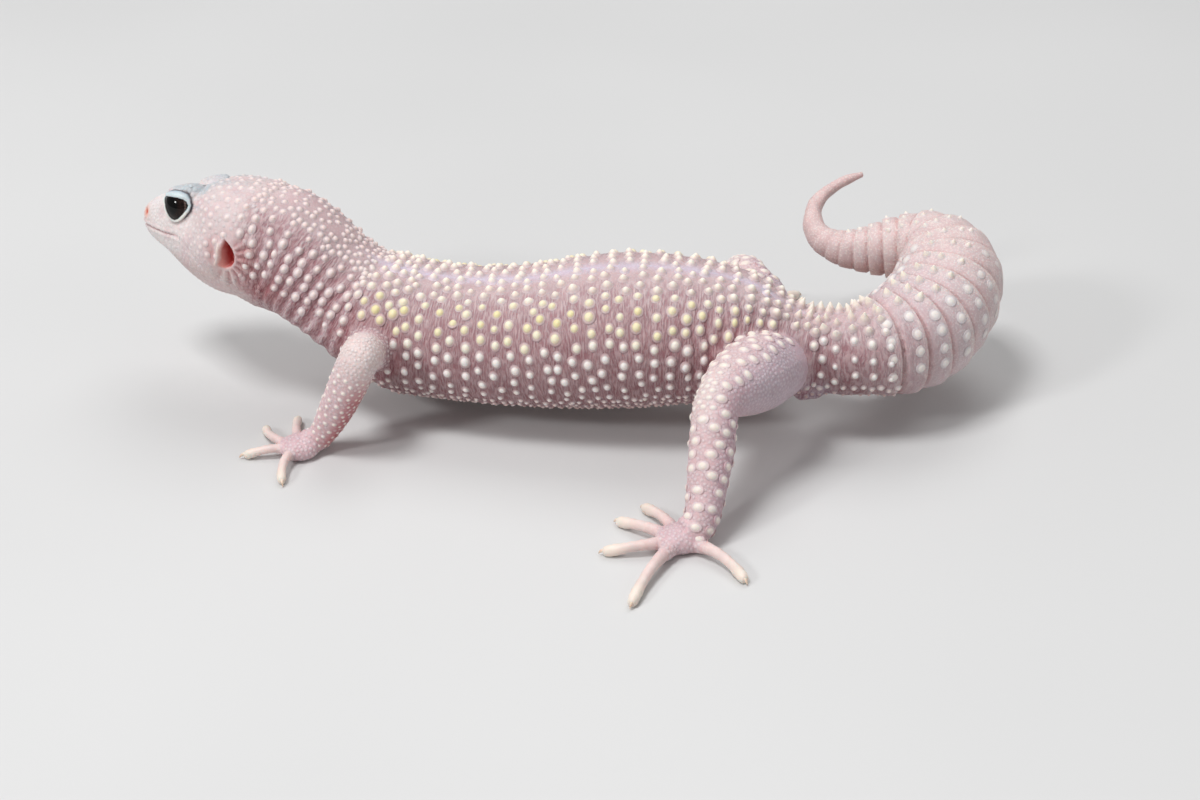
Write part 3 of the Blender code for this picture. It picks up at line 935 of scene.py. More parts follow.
@dataclass
class Paint:
    """Colours of points, laid over each other by shares."""

    colour: Array

    def lay(self, red: float, green: float, blue: float, share: Array) -> None:
        """Lays one more colour over a share of what is there."""
        self.colour = blend(self.colour, tone(red, green, blue), share)


@dataclass
class Skin:
    """The one closed skin of head, neck, trunk, tail and legs, with its forms, markings and painted shade and
    highlights.
    """

    body: BodyLine
    head: HeadFrame
    legs: tuple = LEGS
    grain: float = 0.25            # size of the voxels in which the forms are merged
    smooth_passes: int = 12
    triangles: int = 196000
    coat_depth: float = 0.35
    # Tail rings: place along the body by section, and the ring's length there
    ring_sections: tuple = (16.9, 18.0, 20.0, 22.5, 24.0, 26.0, 29.0)
    ring_lengths: tuple = (2.9, 3.4, 4.3, 3.8, 3.0, 2.4, 2.0)
    # Columns of tubercles: place by section, and the columns' distance there
    column_sections: tuple = (0.0, 3.0, 5.0, 8.0, 12.5, 14.0, 16.0, 18.0)
    column_gaps: tuple = (1.95, 2.05, 2.3, 2.65, 2.6, 2.1, 2.0, 2.2)
    sway: float = 0.20             # how far columns stray, as a share of their distance
    piece: bpy.types.Object = field(init=False, default=None)
    points: Array = field(init=False, default=None)
    normals: Array = field(init=False, default=None)
    colours: Array = field(init=False, default=None)

    # ---- forms

    def tube(self, name: str, rings: Array) -> bpy.types.Object:
        """A closed tube through rings of points.

        Args:
            name: the form's name.
            rings: rings of places in millimetres.

        Returns:
            One form, to be merged with the rest.
        """
        count, around = rings.shape[:2]
        index = np.arange(count * around).reshape(count, around)
        after = np.roll(index, -1, axis=1)
        faces = np.stack((index[:-1], after[:-1], after[1:], index[1:]), axis=-1).reshape(-1, 4).tolist()
        faces += [index[0][::-1].tolist(), index[-1].tolist()]
        piece = piece_from(name, rings.reshape(-1, 3) * MM, faces)
        turn_outwards(piece)
        return piece

    def round_tube(self, name: str, rows: list, around: int = 20, steps: int = 8) -> bpy.types.Object:
        """A round tube along rows of x, y, z and radius.

        Args:
            name: the form's name.
            rows: places and radii along it.
            around: points in a ring.
            steps: rings for each row.

        Returns:
            One form, to be merged with the rest.
        """
        rows = catmull_rom(rows, steps)
        along = unit(np.gradient(rows[:, :3], axis=0))
        side = np.cross((0.0, 1.0, 0.0), along[0])
        angle = math.tau * np.arange(around)[:, None] / around
        rings = []
        for row, way in zip(rows, along):
            side = unit(side - (side @ way) * way)
            up = np.cross(way, side)
            rings.append(row[:3] + row[3] * (np.cos(angle) * side + np.sin(angle) * up))
        return self.tube(name, np.array(rings))

    def lump(self, name: str, centre: Array, radii: tuple, axes: Array) -> bpy.types.Object:
        """An ellipsoid at its place, stretched along axes given as rows.

        Args:
            name: the form's name.
            centre: its middle.
            radii: its half sizes.
            axes: their directions.

        Returns:
            One form, to be merged with the rest.
        """
        deselect()
        bpy.ops.mesh.primitive_uv_sphere_add(segments=32, ring_count=20, radius=1.0)
        piece = bpy.context.object
        piece.name = name
        set_points(piece, ((points_of(piece) * radii) @ np.asarray(axes) + centre) * MM)
        return piece

    def forms(self) -> list:
        """All tubes and lumps of flesh before they are merged.

        Returns:
            The forms.
        """
        plan, axes = self.head.plan, self.head.axes
        found = [self.tube("body", self.body.rings())]
        rows = catmull_rom(plan.sections, 6)
        c, s = squarish(self.body.plan.sides, self.body.plan.squareness)
        local = np.array([np.stack((np.full(len(c), row[0]), c * row[2],
                                    row[1] + s * np.where(s > 0, row[3], row[4])), axis=1) for row in rows])
        found.append(self.tube("skull", self.head.outside(local)))
        for side in (1, -1):
            for (a, b, up), radii in plan.lumps:
                found.append(self.lump("lump", self.head.outside((a, side * b, up)), radii, axes))
        found.append(self.lump("vent", *map(np.array, self.body.plan.vent), np.eye(3)))
        for leg in self.legs:
            found.append(self.round_tube("leg", leg.shank_rows()))
            heading = unit(leg.on_floor(20.0, 1.0, leg.sole[2]) - leg.sole)
            turn = np.array((heading, (-heading[1], heading[0], 0.0), (0.0, 0.0, 1.0)))
            found.append(self.lump("sole", np.array(leg.sole), (*leg.sole_reach, leg.radii[-1]), turn))
            for digit in leg.fan:
                found.append(self.round_tube("digit", leg.digit_rows(digit), 14))
        return found

    # ---- places on the legs

    def on_leg(self, leg: LegPlan, points: Array) -> tuple[Array, Array, Array]:
        """Where points lie on a leg.

        Args:
            leg: the leg's plan.
            points: places in millimetres.

        Returns:
            Their share of the leg's radius, their place by knot (0 root, 2 bend, 4 ankle, 5 sole,
            then 5 to 6 along a digit), and the nearest place on the line.
        """
        rows, knots = leg.lines
        share, place, near = np.full(len(points), 9.0), np.zeros(len(points)), np.zeros((len(points), 3))
        low, high = rows[:, :3].min(axis=0) - 9, rows[:, :3].max(axis=0) + 9
        close = np.flatnonzero(((points > low) & (points < high)).all(axis=1))
        apart = np.linalg.norm(points[close, None] - rows[None, :, :3], axis=2) / rows[None, :, 3]
        best = apart.argmin(axis=1)
        share[close], place[close] = apart[np.arange(len(close)), best], knots[best]
        near[close] = rows[best, :3]
        return share, place, near

    def nearest_leg(self, points: Array) -> tuple[Array, Array, Array]:
        """Where points lie on the leg that they are nearest to.

        Args:
            points: places in millimetres.

        Returns:
            Their share of the leg's radius, their place by knot, and whether it is a hind leg.
        """
        best, knot, hind = np.full(len(points), 9.0), np.zeros(len(points)), np.zeros(len(points), bool)
        for leg in self.legs:
            share, place, _ = self.on_leg(leg, points)
            nearer = share < best
            best[nearer], knot[nearer] = share[nearer], place[nearer]
            hind[nearer] = leg.ends[0] is Foot.FOOT
        return best, knot, hind

    # ---- shaping

    def build(self) -> None:
        """Merges the forms into one closed skin and models its surface."""
        grain = self.grain
        forms = self.forms()
        select_only(*forms)
        bpy.ops.object.join()
        self.piece = bpy.context.object
        self.piece.name = self.piece.data.name = "skin"
        apply_modifier(self.piece, "REMESH", mode="VOXEL", voxel_size=grain * MM)
        apply_modifier(self.piece, "SMOOTH", factor=0.5, iterations=self.smooth_passes)
        self.refine()
        self.displace()
        self.sculpt_head()
        apply_modifier(self.piece, "TRIANGULATE")
        LOG.info("dense skin: %d triangles", len(self.piece.data.polygons))
        self.lighten()
        points = points_of(self.piece) / MM
        points[:, 2] = np.maximum(points[:, 2], 0.0)
        set_points(self.piece, points * MM)
        shade_smooth(self.piece)
        self.points, self.normals = points, normals_of(self.piece)

    def refine(self) -> None:
        """Halves the grain round the eyes, nostrils, mouth and ears."""
        local = self.head.inside(points_of(self.piece) / MM)
        a, b, c = local[:, 0], np.abs(local[:, 1]), local[:, 2]
        mouth, _ = line_distance(np.stack((a, c), axis=1), self.head.plan.mouth)
        wanted = (np.linalg.norm(np.stack((a - 15.4, b - 6.5, c - 2.4), axis=1), axis=1) < 5.2)
        wanted |= (mouth < 1.3) & (b > 0.0) & (a > 9)
        wanted |= (np.hypot(a - 3.2, c + 3.5) < 4.2) & (b > 6.5)
        wanted |= np.linalg.norm(np.stack((a - 25.3, b - 2.5, c + 0.3), axis=1), axis=1) < 1.8
        self.subdivide(wanted)
        local = self.head.inside(points_of(self.piece) / MM)
        local[:, 1] = np.abs(local[:, 1])
        outside, _, width, apart = self.lid_places(local)
        self.subdivide((apart < 5.6) & (local[:, 1] > 4.0) & (outside > -0.5) & (outside < width + 0.35))

    def subdivide(self, wanted: Array) -> None:
        """Halves the skin's grain where a mask of points says so.

        Args:
            wanted: a mask of points.
        """
        select_only(self.piece)
        bpy.ops.object.mode_set(mode="EDIT")
        bpy.ops.mesh.select_all(action="DESELECT")
        bpy.ops.object.mode_set(mode="OBJECT")
        self.piece.data.vertices.foreach_set("select", wanted)
        bpy.ops.object.mode_set(mode="EDIT")
        bpy.ops.mesh.select_mode(type="VERT")
        bpy.ops.mesh.subdivide(number_cuts=1, smoothness=0.0)
        bpy.ops.object.mode_set(mode="OBJECT")

    def lighten(self) -> None:
        """Thins the mesh to its share of triangles and keeps the head fine."""
        local = self.head.inside(points_of(self.piece) / MM)
        keep = smoothstep(local[:, 0], 6.0, 12.0)
        group = self.piece.vertex_groups.new(name="face")
        for level in range(1, 9):
            some = np.flatnonzero(np.round(keep * 8) == level)
            group.add(some.tolist(), level / 8, "REPLACE")
        ratio = self.triangles / len(self.piece.data.polygons)
        if ratio < 1:
            apply_modifier(self.piece, "DECIMATE", ratio=ratio, vertex_group="face",
                           vertex_group_factor=0.6, invert_vertex_group=True)
        self.piece.vertex_groups.clear()
        LOG.info("skin: %d triangles", len(self.piece.data.polygons))

    def count_along(self, sections: tuple, lengths: tuple, fine: Array, travelled: Array) -> Array:
        """Counts along the body what has a given length at given sections.

        Args:
            sections: places along the body.
            lengths: millimetres of one ring or column there.
            fine: millimetres along the body at which to count, close together.
            travelled: millimetres along the body.

        Returns:
            The count at each place, with its fraction.
        """
        knots = [self.body.distance_to(section) for section in sections]
        count = np.cumsum(np.diff(fine) / np.interp(fine, knots, lengths)[:-1])
        return np.interp(travelled, fine, np.concatenate(((0.0,), count)))

    def ring_phase(self, travelled: Array) -> Array:
        """Tail rings counted along the body, with their fractions."""
        first, last = (self.body.distance_to(self.ring_sections[end]) for end in (0, -1))
        fine = np.linspace(first, last + 25, 600)
        return self.count_along(self.ring_sections, self.ring_lengths, fine, travelled)

    def ring_strength(self, section: Array) -> Array:
        """How strongly the tail is ringed, by section."""
        return smoothstep(section, 17.0, 18.4) * smoothstep(section, 29.5, 25.5)

    def column_phase(self, travelled: Array) -> Array:
        """Columns of tubercles counted along the body, with their fractions."""
        last = self.body.distance_to(self.column_sections[-1])
        fine = np.linspace(0.0, last + 10, 800)
        return self.count_along(self.column_sections, self.column_gaps, fine, travelled)

    def column_wave(self, at: BodyPlaces, points: Array) -> Array:
        """A wave through the columns: 1 on a column and -1 half way to the next."""
        return np.cos(math.tau * (self.column_phase(at.travelled) + self.sway * ripple(points, 7.0, SEED)))

    def wrinkling(self, at: BodyPlaces) -> Array:
        """How strongly the skin is pleated between the columns: on the neck, armpit and groin.

        Args:
            at: places on the body.

        Returns:
            Strengths from 0 to 1.
        """
        neck = smoothstep(at.section, 0.6, 2.0) * smoothstep(at.section, 6.6, 5.0)
        groin = smoothstep(at.section, 11.8, 13.6) * smoothstep(at.section, 17.0, 16.0)
        return np.maximum(neck, 0.8 * groin) * smoothstep(at.height, 62, 30) * smoothstep(at.height, -60, -30)

    def displace(self) -> None:
        """Models the coat's depth, tail rings, pleats, folds and unevenness, and sets the soles down."""
        points, normals = points_of(self.piece) / MM, normals_of(self.piece)
        at = self.body.locate(points)
        local = self.head.inside(points)
        face = smoothstep(local[:, 0], -3.0, 1.0)
        shift = -self.coat_depth * smoothstep(at.section, 29.5, 25.0)
        shift = shift * (1 - 0.7 * face)
        leg_share, leg_place, _ = self.nearest_leg(points)
        on_leg = smoothstep(at.share - leg_share, -0.05, 0.35) * (leg_share < 2)
        on_leg = np.maximum(on_leg, (leg_share < 1.6) & (leg_place > 2))
        digits = on_leg * smoothstep(leg_place, 3.6, 5.0)
        shift = shift * (1 - 0.4 * on_leg) * (1 - digits)
        body = (1 - on_leg) * (1 - face)

        within = self.ring_phase(at.travelled) % 1
        strength = self.ring_strength(at.section) * (1 - on_leg)
        ledge = (1 - np.exp(-within / 0.13)) * (0.45 + 0.55 * within) * smoothstep(within, 1.0, 0.88)
        size = 0.86 * smoothstep(at.section, 30.0, 20.0) + 0.10
        furrow = mound(within, 0.0, 0.07) + mound(within, 1.0, 0.06)
        shift += strength * (size * ledge - 0.30 * furrow)

        column = self.column_wave(at, points)
        wrinkled = self.wrinkling(at) * body
        under = smoothstep(at.section, 6.5, 5.0) * smoothstep(at.height, 8, -18)
        shift += wrinkled * (0.17 + 0.08 * under) * column
        flank = smoothstep(at.height, 70, 40)
        shift += body * (1 - strength) * flank * 0.05 * ripple(points, 3.0, SEED + 1)
        shift += 0.06 * ripple(points, 6.0, SEED + 2) * (1 - digits) * (1 - face)
        # creases round the armpits and groins
        edge = at.share - leg_share
        crease = mound(edge, -0.28, 0.09) * (leg_share < 2.2) * (1 - face)
        fans = np.cos(4.2 * at.travelled / 1.6 + 0.8 * ripple(points, 5.0, SEED + 3))
        shift -= 0.16 * crease
        shift += 0.10 * mound(edge, -0.6, 0.3) * fans * (leg_share < 3) * (1 - face)
        # scaly cross-ridges under and over the digits
        shift += 0.035 * (np.cos(math.tau * leg_place * 9) * digits)
        points = points + normals * shift[:, None]
        # soles and digits lie flat on the floor
        low = smoothstep(points[:, 2], 1.4, 0.2)
        points[:, 2] = np.where(points[:, 2] < 1.4, points[:, 2] - 0.12 * low, points[:, 2])
        points[:, 2] = np.maximum(points[:, 2], 0.0)
        set_points(self.piece, points * MM)

    def sculpt_head(self) -> None:
        """Models eyelids, brows, nostrils, lips, ears and the folds round them."""
        plan = self.head.plan
        points, normals = points_of(self.piece) / MM, normals_of(self.piece)
        whole = self.head.inside(points)
        chosen = np.flatnonzero((whole[:, 0] > -9) & (np.abs(whole[:, 1]) < 14) & (whole[:, 2] > -16)
                                & (np.linalg.norm(whole, axis=1) < 34))
        local, facing = whole[chosen], normals[chosen] @ self.head.axes.T
        mirror = np.where(local[:, 1] < 0, -1.0, 1.0)
        local[:, 1] *= mirror
        facing[:, 1] *= mirror
        a, b, c = local.T
        side_view = np.stack((a, c), axis=1)

        shift = np.zeros(len(local))
        mouth, along = line_distance(side_view, plan.mouth)
        end = smoothstep(along, 8.0, 5.4) * smoothstep(b, 1.0 - 2 * (a > 24), 3.0 - 2 * (a > 24))
        above = c > -2.6
        shift -= 0.26 * mound(mouth, 0.0, 0.18) * end
        shift += 0.13 * mound(mouth, 0.55, 0.33) * end * np.where(above, 1.0, 0.8)
        shift -= 0.40 * mound(np.hypot((a - 20.6) / 1.5, c - 0.6), 0.0, 1.5) * smoothstep(b, 3.0, 4.5)
        near = self.nostril_distance(local)
        shift += 0.26 * mound(near, 0.0, 1.3)
        shift -= 0.80 * mound(near, 0.0, 0.42)
        shift -= 1.25 * mound(np.hypot((a - 11.4) / 2.9, (c - 2.0) / 2.6), 0.0, 1.0) * smoothstep(b, 3.0, 5.0)
        shift += 0.50 * mound(np.hypot((a - 11.4) / 5.0, (b - 4.3) / 2.8), 0.0, 1.0) * smoothstep(c, 3.6, 5.4)
        shift -= 0.25 * mound(np.hypot((a - 15.0) / 3.0, b), 0.0, 1.6) * (c > 0)
        # throat: soft folds along the jaw
        jaw, _ = line_distance(side_view, ((12.0, -4.2), (9.5, -6.4), (6.5, -8.2), (2.0, -9.5)))
        shift -= 0.16 * mound(jaw, 0.0, 0.5) * (b > 3)
        # ear
        ear = outline_distance(side_view, plan.ear)
        beside = smoothstep(b, 6.0, 7.5)
        pit = smoothstep(-ear, -0.18, 0.75) * (0.15 + 1.70 * smoothstep(a, 4.0, 1.8))
        fold, _ = line_distance(side_view, plan.ear_fold)
        shift += beside * 0.42 * mound(fold, 0.0, 0.36)
        shift -= beside * 0.42 * mound(np.hypot((a - 5.3) / 0.85, (c + 3.5) / 2.3), 0.0, 1.0)
        shift += beside * 0.16 * mound(ear, 0.40, 0.3) * (a < 3.2)
        shift += beside * 0.20 * self.ear_rays(local, ear)
        local = local + facing * shift[:, None]
        local[:, 1] -= beside * pit * (local[:, 1] > 5)
        # eyelids
        local = self.set_lids(local)
        local[:, 1] *= mirror
        whole[chosen] = local
        set_points(self.piece, self.head.outside(whole) * MM)

    def ear_rays(self, local: Array, ear: Array) -> Array:
        """Folds that radiate behind and under the ear, from -1 in a furrow to 1 on a crest.

        Args:
            local: places in the head's frame.
            ear: their distances outside the ear.

        Returns:
            The heights.
        """
        across, above = local[:, 0] - 2.6, local[:, 2] + 3.6
        spoke = np.degrees(np.arctan2(above, across))
        behind = smoothstep(np.abs((spoke + 325) % 360 - 180), 105, 70)
        ray = np.cos(np.radians(spoke) * 15 + 0.6 * ripple(local, 4.0, SEED + 5))
        return ray * behind * smoothstep(ear, 0.3, 0.9) * smoothstep(np.hypot(across, above), 7.5, 4.5)

    def nostril_distance(self, local: Array) -> Array:
        """Distance from the nostril's middle line, shorter upright, since the nostril is a slit.

        Args:
            local: places in the head's frame, on its left side.

        Returns:
            The distances.
        """
        plan = self.head.plan
        way = unit(np.array(plan.nostril_way))
        offset = local - plan.nostril
        along = offset @ way
        offset = offset - along[:, None] * way
        return np.linalg.norm(offset * (1.35, 1.35, 0.75), axis=1) + 1.5 * np.maximum(-0.3 - along, 0.0)

    def lid_places(self, local: Array) -> tuple[Array, Array, Array, Array]:
        """Where points beside the eye lie on its ball.

        Args:
            local: places in the head's frame, on its left side.

        Returns:
            Distance outside the lid opening, forward and up on the unrolled ball, the lid's width
            there, and distance from the ball's middle.
        """
        plan = self.head.plan
        offset = local - plan.eye
        apart = np.linalg.norm(offset, axis=1)
        turn = np.arccos(np.clip(offset[:, 1] / apart, -1, 1)) * plan.eye_radius
        way = np.arctan2(offset[:, 2], offset[:, 0])
        flat = np.stack((turn * np.cos(way), turn * np.sin(way)), axis=1)
        width = 0.68 + 0.80 * smoothstep(flat[:, 1], 0.8, 3.6) - 0.22 * smoothstep(flat[:, 0], 0.3, 2.2)
        return outline_distance(flat, plan.opening), flat, width, apart

    def lid_fold(self, flat: Array) -> Array:
        """How deep the fold round the lids is: over the upper lid and down behind it."""
        return smoothstep(flat[:, 1] - flat[:, 0], -0.6, 0.8) * smoothstep(flat[:, 0], 2.6, 0.8)

    def set_lids(self, local: Array) -> Array:
        """Lays the skin round the eye's ball, with rolled lids and the fold behind them.

        Args:
            local: places in the head's frame, on its left side.

        Returns:
            The places, moved.
        """
        plan = self.head.plan
        outside, flat, width, apart = self.lid_places(local)
        close = (apart < 8.0) & (local[:, 1] > 1.0)
        rim = plan.eye_radius + 0.17 + 0.26 * np.sin(np.pi * np.clip(outside / width, 0, 1)) ** 0.8
        hidden = plan.eye_radius - 0.6
        rim = hidden + (rim - hidden) * smoothstep(outside, -0.26, 0.05)
        rear = smoothstep(0.4 * flat[:, 1] - flat[:, 0], -0.5, 1.8)
        cone = plan.eye_radius + 0.16 + (3.2 - 2.3 * rear) * np.maximum(outside - width, 0.0)
        ground = -0.22 * np.logaddexp(-apart / 0.22, -cone / 0.22)
        open_air = smoothstep(outside, 0.8 * width, width + 0.2)
        wanted = rim + (ground - rim) * open_air
        wanted -= (0.10 + 0.28 * self.lid_fold(flat)) * mound(outside, width + 0.08, 0.15)
        wanted = np.where(outside > 0.1, np.maximum(wanted, plan.eye_radius + 0.14), wanted)
        share = np.where(close, smoothstep(apart - 1.5 * rear, 6.3, 5.2), 0.0)
        share = share * smoothstep(local[:, 1], 1.2, 3.4)
        share = np.where((apart < plan.eye_radius + 0.5) & (local[:, 1] > 1.0), 1.0, share)
        scale = 1 + (wanted / apart - 1) * share
        return plan.eye + (local - plan.eye) * scale[:, None]

    # ---- markings, painted shade and painted highlights

    def paint(self) -> None:
        """Colours the skin's points and stores the masks and the lay that its finish reads."""
        points, normals = self.points, self.normals
        at = self.body.locate(points)
        local = self.head.inside(points)
        section, height = at.section, at.height
        uneven = ripple(points, 5.0, SEED + 11)
        fine = ripple(points, 1.8, SEED + 12)

        # trunk and neck; the flanks darken downwards as painted shade, above a paler belly
        paint = Paint(blend(tone(180, 140, 144), tone(160, 118, 122), smoothstep(height, 24, -24)))
        paint.lay(202, 174, 177, smoothstep(height, 20, 62))
        paint.lay(212, 180, 183, smoothstep(height, 66, 88) * 0.8)
        paint.lay(206, 176, 174, smoothstep(height, -55, -80))
        middle = (mound(at.across, 0.0, 0.36) * (height > 45)
                  * smoothstep(section, 3.5, 6) * smoothstep(section, 16.5, 14.5))
        paint.lay(216, 200, 218, 0.9 * middle)
        neck = smoothstep(section, 6.5, 4.0)
        paint.lay(206, 166, 170, 0.45 * neck * smoothstep(height, 70, 30) * smoothstep(height, -70, -40))
        column = self.column_wave(at, points)
        # painted shade in the furrows between the neck and groin pleats, and painted highlight on their
        # crests, strongest under the neck
        furrow = self.wrinkling(at) * smoothstep(-column, -0.1, 0.9)
        paint.lay(164, 104, 112, 0.65 * furrow)
        under = neck * smoothstep(height, 8, -18)
        paint.lay(230, 210, 214, (0.45 + 0.35 * under) * self.wrinkling(at) * smoothstep(column, 0.3, 1.0))
        # tail
        tail = smoothstep(section, 16.4, 19.6)
        paint.lay(222, 202, 206, tail)
        paint.lay(232, 209, 208, smoothstep(section, 18.4, 21.5))
        # a redder painted shade under the turned part of the tail
        paint.lay(232, 182, 174, tail * smoothstep(section, 21.5, 24.0) * smoothstep(height, 10, -50)
                       * smoothstep(section, 29, 26))
        paint.lay(228, 200, 198, smoothstep(section, 26, 30))
        within = self.ring_phase(at.travelled) % 1
        strength = self.ring_strength(section)
        # painted shade in the creases between the tail rings and over each ring's low front, painted
        # highlight on its raised rear edge
        crease = np.maximum(mound(within, 0.0, 0.07), mound(within, 1.0, 0.04))
        paint.lay(206, 152, 150, 0.6 * strength * crease)
        paint.lay(250, 234, 229, 0.5 * strength * mound(within, 0.86, 0.08))
        paint.lay(222, 174, 172, 0.30 * strength * smoothstep(within, 0.30, 0.0))
        # vent and groin: smooth, bluish
        groin = np.linalg.norm((points - (40.5, -4.0, 9.0)) / (6.0, 8.0, 5.0), axis=1)
        paint.lay(204, 182, 196, 0.7 * smoothstep(groin, 1.2, 0.6))

        # legs
        leg_share, leg_place, hind = self.nearest_leg(points)
        rear = normals[:, 0]
        on_leg = smoothstep(at.share - leg_share, -0.10, 0.30) * (leg_share < 2)
        on_leg = np.maximum(on_leg, (leg_share < 1.6) & (leg_place > 2.2))
        leg = Paint(np.broadcast_to(tone(222, 184, 188), points.shape))
        # the rear of the hind legs is darker and the rear of the forearms deep rose: partly their own tone,
        # partly painted shade on the side turned from the lamps
        leg.lay(206, 166, 176, smoothstep(rear, 0.0, 0.8) * hind)
        leg.lay(204, 182, 194, 0.6 * smoothstep(rear, 0.1, 0.8) * hind * smoothstep(leg_place, 2.2, 1.2))
        leg.lay(188, 98, 104, 0.85 * smoothstep(rear, -0.15, 0.6) * ~hind
                    * smoothstep(leg_place, 2.2, 2.8) * smoothstep(leg_place, 4.9, 4.2))
        bend = mound(leg_place, 2.0, 0.5)
        leg.lay(240, 212, 209, 0.9 * bend * np.where(hind, smoothstep(rear, 0.3, -0.4), 1.0))
        leg.lay(226, 188, 192, smoothstep(leg_place, 3.8, 4.6))
        leg.lay(222, 182, 190, 0.6 * smoothstep(leg_place, 4.2, 5.0) * smoothstep(leg_place, 5.5, 5.1))
        leg.lay(234, 206, 203, smoothstep(leg_place, 5.1, 5.45))
        leg.lay(240, 219, 209, smoothstep(leg_place, 5.5, 5.9))
        paint.colour = blend(paint.colour, leg.colour, on_leg)
        # painted shade in the creases round the armpits and groins, on their lower sides
        fold = mound(at.share - leg_share, -0.25, 0.16) * (leg_share < 2.2) * (section > 4.5)
        paint.lay(170, 104, 112, 0.6 * fold * smoothstep(height, 40, 0))

        # head
        self.paint_head(local, paint, uneven)
        colour = paint.colour * (1 + 0.035 * uneven + 0.03 * fine)[:, None]

        face = smoothstep(local[:, 0], -2.0, 2.0)
        flank = smoothstep(height, 78, 50) * smoothstep(height, -80, -55)
        pleats = flank * (1 - face) * (1 - on_leg) * (1 - tail)
        grains = np.clip(0.55 + 0.25 * tail - 0.10 * on_leg - 0.25 * face, 0, 1)
        grains = grains * smoothstep(leg_place, 5.6, 5.2)
        bare = np.clip(0.5 * smoothstep(leg_place, 5.2, 5.6) + self.wet, 0, 1)
        self.colours = np.clip(colour * (0.90, 0.975, 0.955), 0, 1)
        set_colours(self.piece, "tint", self.colours)
        set_colours(self.piece, "mark", np.stack((pleats, grains, bare), axis=1))
        set_vectors(self.piece, "lay", np.stack((at.travelled, at.arc, np.zeros(len(points))), axis=1))

    def paint_head(self, whole: Array, paint: Paint, uneven: Array) -> None:
        """Adds the head's markings, with painted shade in its grooves and hollows and painted highlights on
        its ridges.

        Args:
            whole: the skin's points in the head's frame.
            paint: their colours so far, to which the head's own are added.
            uneven: a smooth unevenness.
        """
        plan = self.head.plan
        local = whole.copy()
        local[:, 1] = np.abs(local[:, 1])
        a, b, c = local.T
        near_head = (a > -12) & (np.linalg.norm(whole, axis=1) < 36)
        face = smoothstep(a + 0.25 * c, -5.0, 2.0) * near_head
        head = Paint(blend(tone(224, 197, 198), tone(238, 219, 219), smoothstep(a, 6, 19)))
        # darker under the jaw, as painted shade
        head.lay(214, 184, 183, smoothstep(c, -4.5, -8.0))
        head.lay(236, 214, 213, 0.8 * smoothstep(a, 11.0, 15.0) * mound(c, -1.2, 2.4) * (b > 2))
        head.lay(208, 164, 170, 0.35 * smoothstep(uneven, 0.0, 1.0))
        paint.colour = blend(paint.colour, head.colour, face)
        side_view = np.stack((a, c), axis=1)
        mouth, along = line_distance(side_view, plan.mouth)
        end = smoothstep(along, 7.4, 4.8) * near_head * (b > 0.0)
        # painted shade in the mouth's groove
        paint.lay(186, 136, 140, 0.7 * mound(mouth, 0.0, 0.16) * end)
        near = self.nostril_distance(local)
        paint.lay(244, 180, 158, 0.8 * mound(near, 0.0, 0.9) * near_head)
        paint.lay(204, 84, 60, 0.95 * mound(near, 0.0, 0.45) * near_head)
        # ear
        ear = outline_distance(side_view, plan.ear)
        beside = smoothstep(b, 5.0, 6.5) * near_head * (a > -3)
        # painted shade in the hollow in front of the ear fold
        paint.lay(190, 116, 116, 0.75 * beside * mound(np.hypot((a - 5.3) / 0.85, (c + 3.4) / 2.3), 0.0, 1.0))
        rays = self.ear_rays(local, ear) * beside
        # painted shade in the furrows round the ear, painted highlight on their crests
        paint.lay(180, 108, 112, 0.55 * smoothstep(-rays, 0.0, 0.9))
        paint.lay(236, 214, 212, 0.45 * smoothstep(rays, 0.1, 0.9))
        paint.lay(224, 132, 122, 0.9 * beside * smoothstep(ear, 0.25, -0.15))
        # the ear pit's own red, deepened towards its back as painted shade of the depth
        paint.lay(158, 10, 8, beside * smoothstep(-ear, -0.10, 0.25) * smoothstep(a, 3.5, 2.5))
        fold, _ = line_distance(side_view, plan.ear_fold)
        # painted highlight on the ridge of the ear fold
        paint.lay(240, 214, 208, 0.95 * beside * mound(fold, 0.0, 0.32))
        behind = np.hypot((a + 0.5) / 2.2, (c + 4.0) / 3.0)
        paint.lay(184, 112, 112, 0.6 * beside * mound(behind, 0.0, 1.0) * (ear > 0.5))
        # a dark rose painted shade low on the throat, behind the jaw
        throat = np.linalg.norm((local - (-3.0, 8.5, -10.5)) / (5.0, 4.0, 3.4), axis=1)
        paint.lay(166, 96, 100, 0.8 * smoothstep(throat, 1.3, 0.5) * near_head)
        # lids
        outside, flat, width, apart = self.lid_places(local)
        close = (apart < 6.5) & (b > 1.0) & near_head
        upper = smoothstep(flat[:, 1] - 0.35 * flat[:, 0], -0.4, 1.2)
        brow = close * smoothstep(outside, 4.0, 2.4) * smoothstep(c, 5.0, 6.0) * smoothstep(outside, 0.0, 0.6)
        inner = smoothstep(b, 5.4, 3.8)
        ridge = np.hypot((a - 12.8 + 1.4 * inner) / (3.4 + 2.0 * inner), (b - 4.4) / 2.6)
        brow = np.maximum(brow, near_head * mound(ridge, 0.0, 1.0) * smoothstep(c, 4.4, 5.8))
        paint.lay(180, 187, 194, 0.85 * brow)
        rim = close * smoothstep(outside, width + 0.12, width - 0.06)
        rims = Paint(np.broadcast_to(tone(240, 236, 232), local.shape))
        rims.lay(206, 216, 222, 0.9 * upper)
        rims.lay(158, 172, 186, 0.8 * upper * smoothstep(outside / width, 0.5, 1.0))
        paint.colour = blend(paint.colour, rims.colour, rim)
        fold = self.lid_fold(flat)
        # painted shade in the fold round the lids, darkest under the brow
        line = close * mound(outside, width + 0.08, 0.11 + 0.07 * smoothstep(-flat[:, 0], 0.5, 2.5))
        line *= smoothstep(apart, plan.eye_radius + 0.9, plan.eye_radius + 0.4)
        paint.lay(158, 138, 142, 0.4 * line)
        paint.lay(70, 66, 74, 0.95 * line * fold)
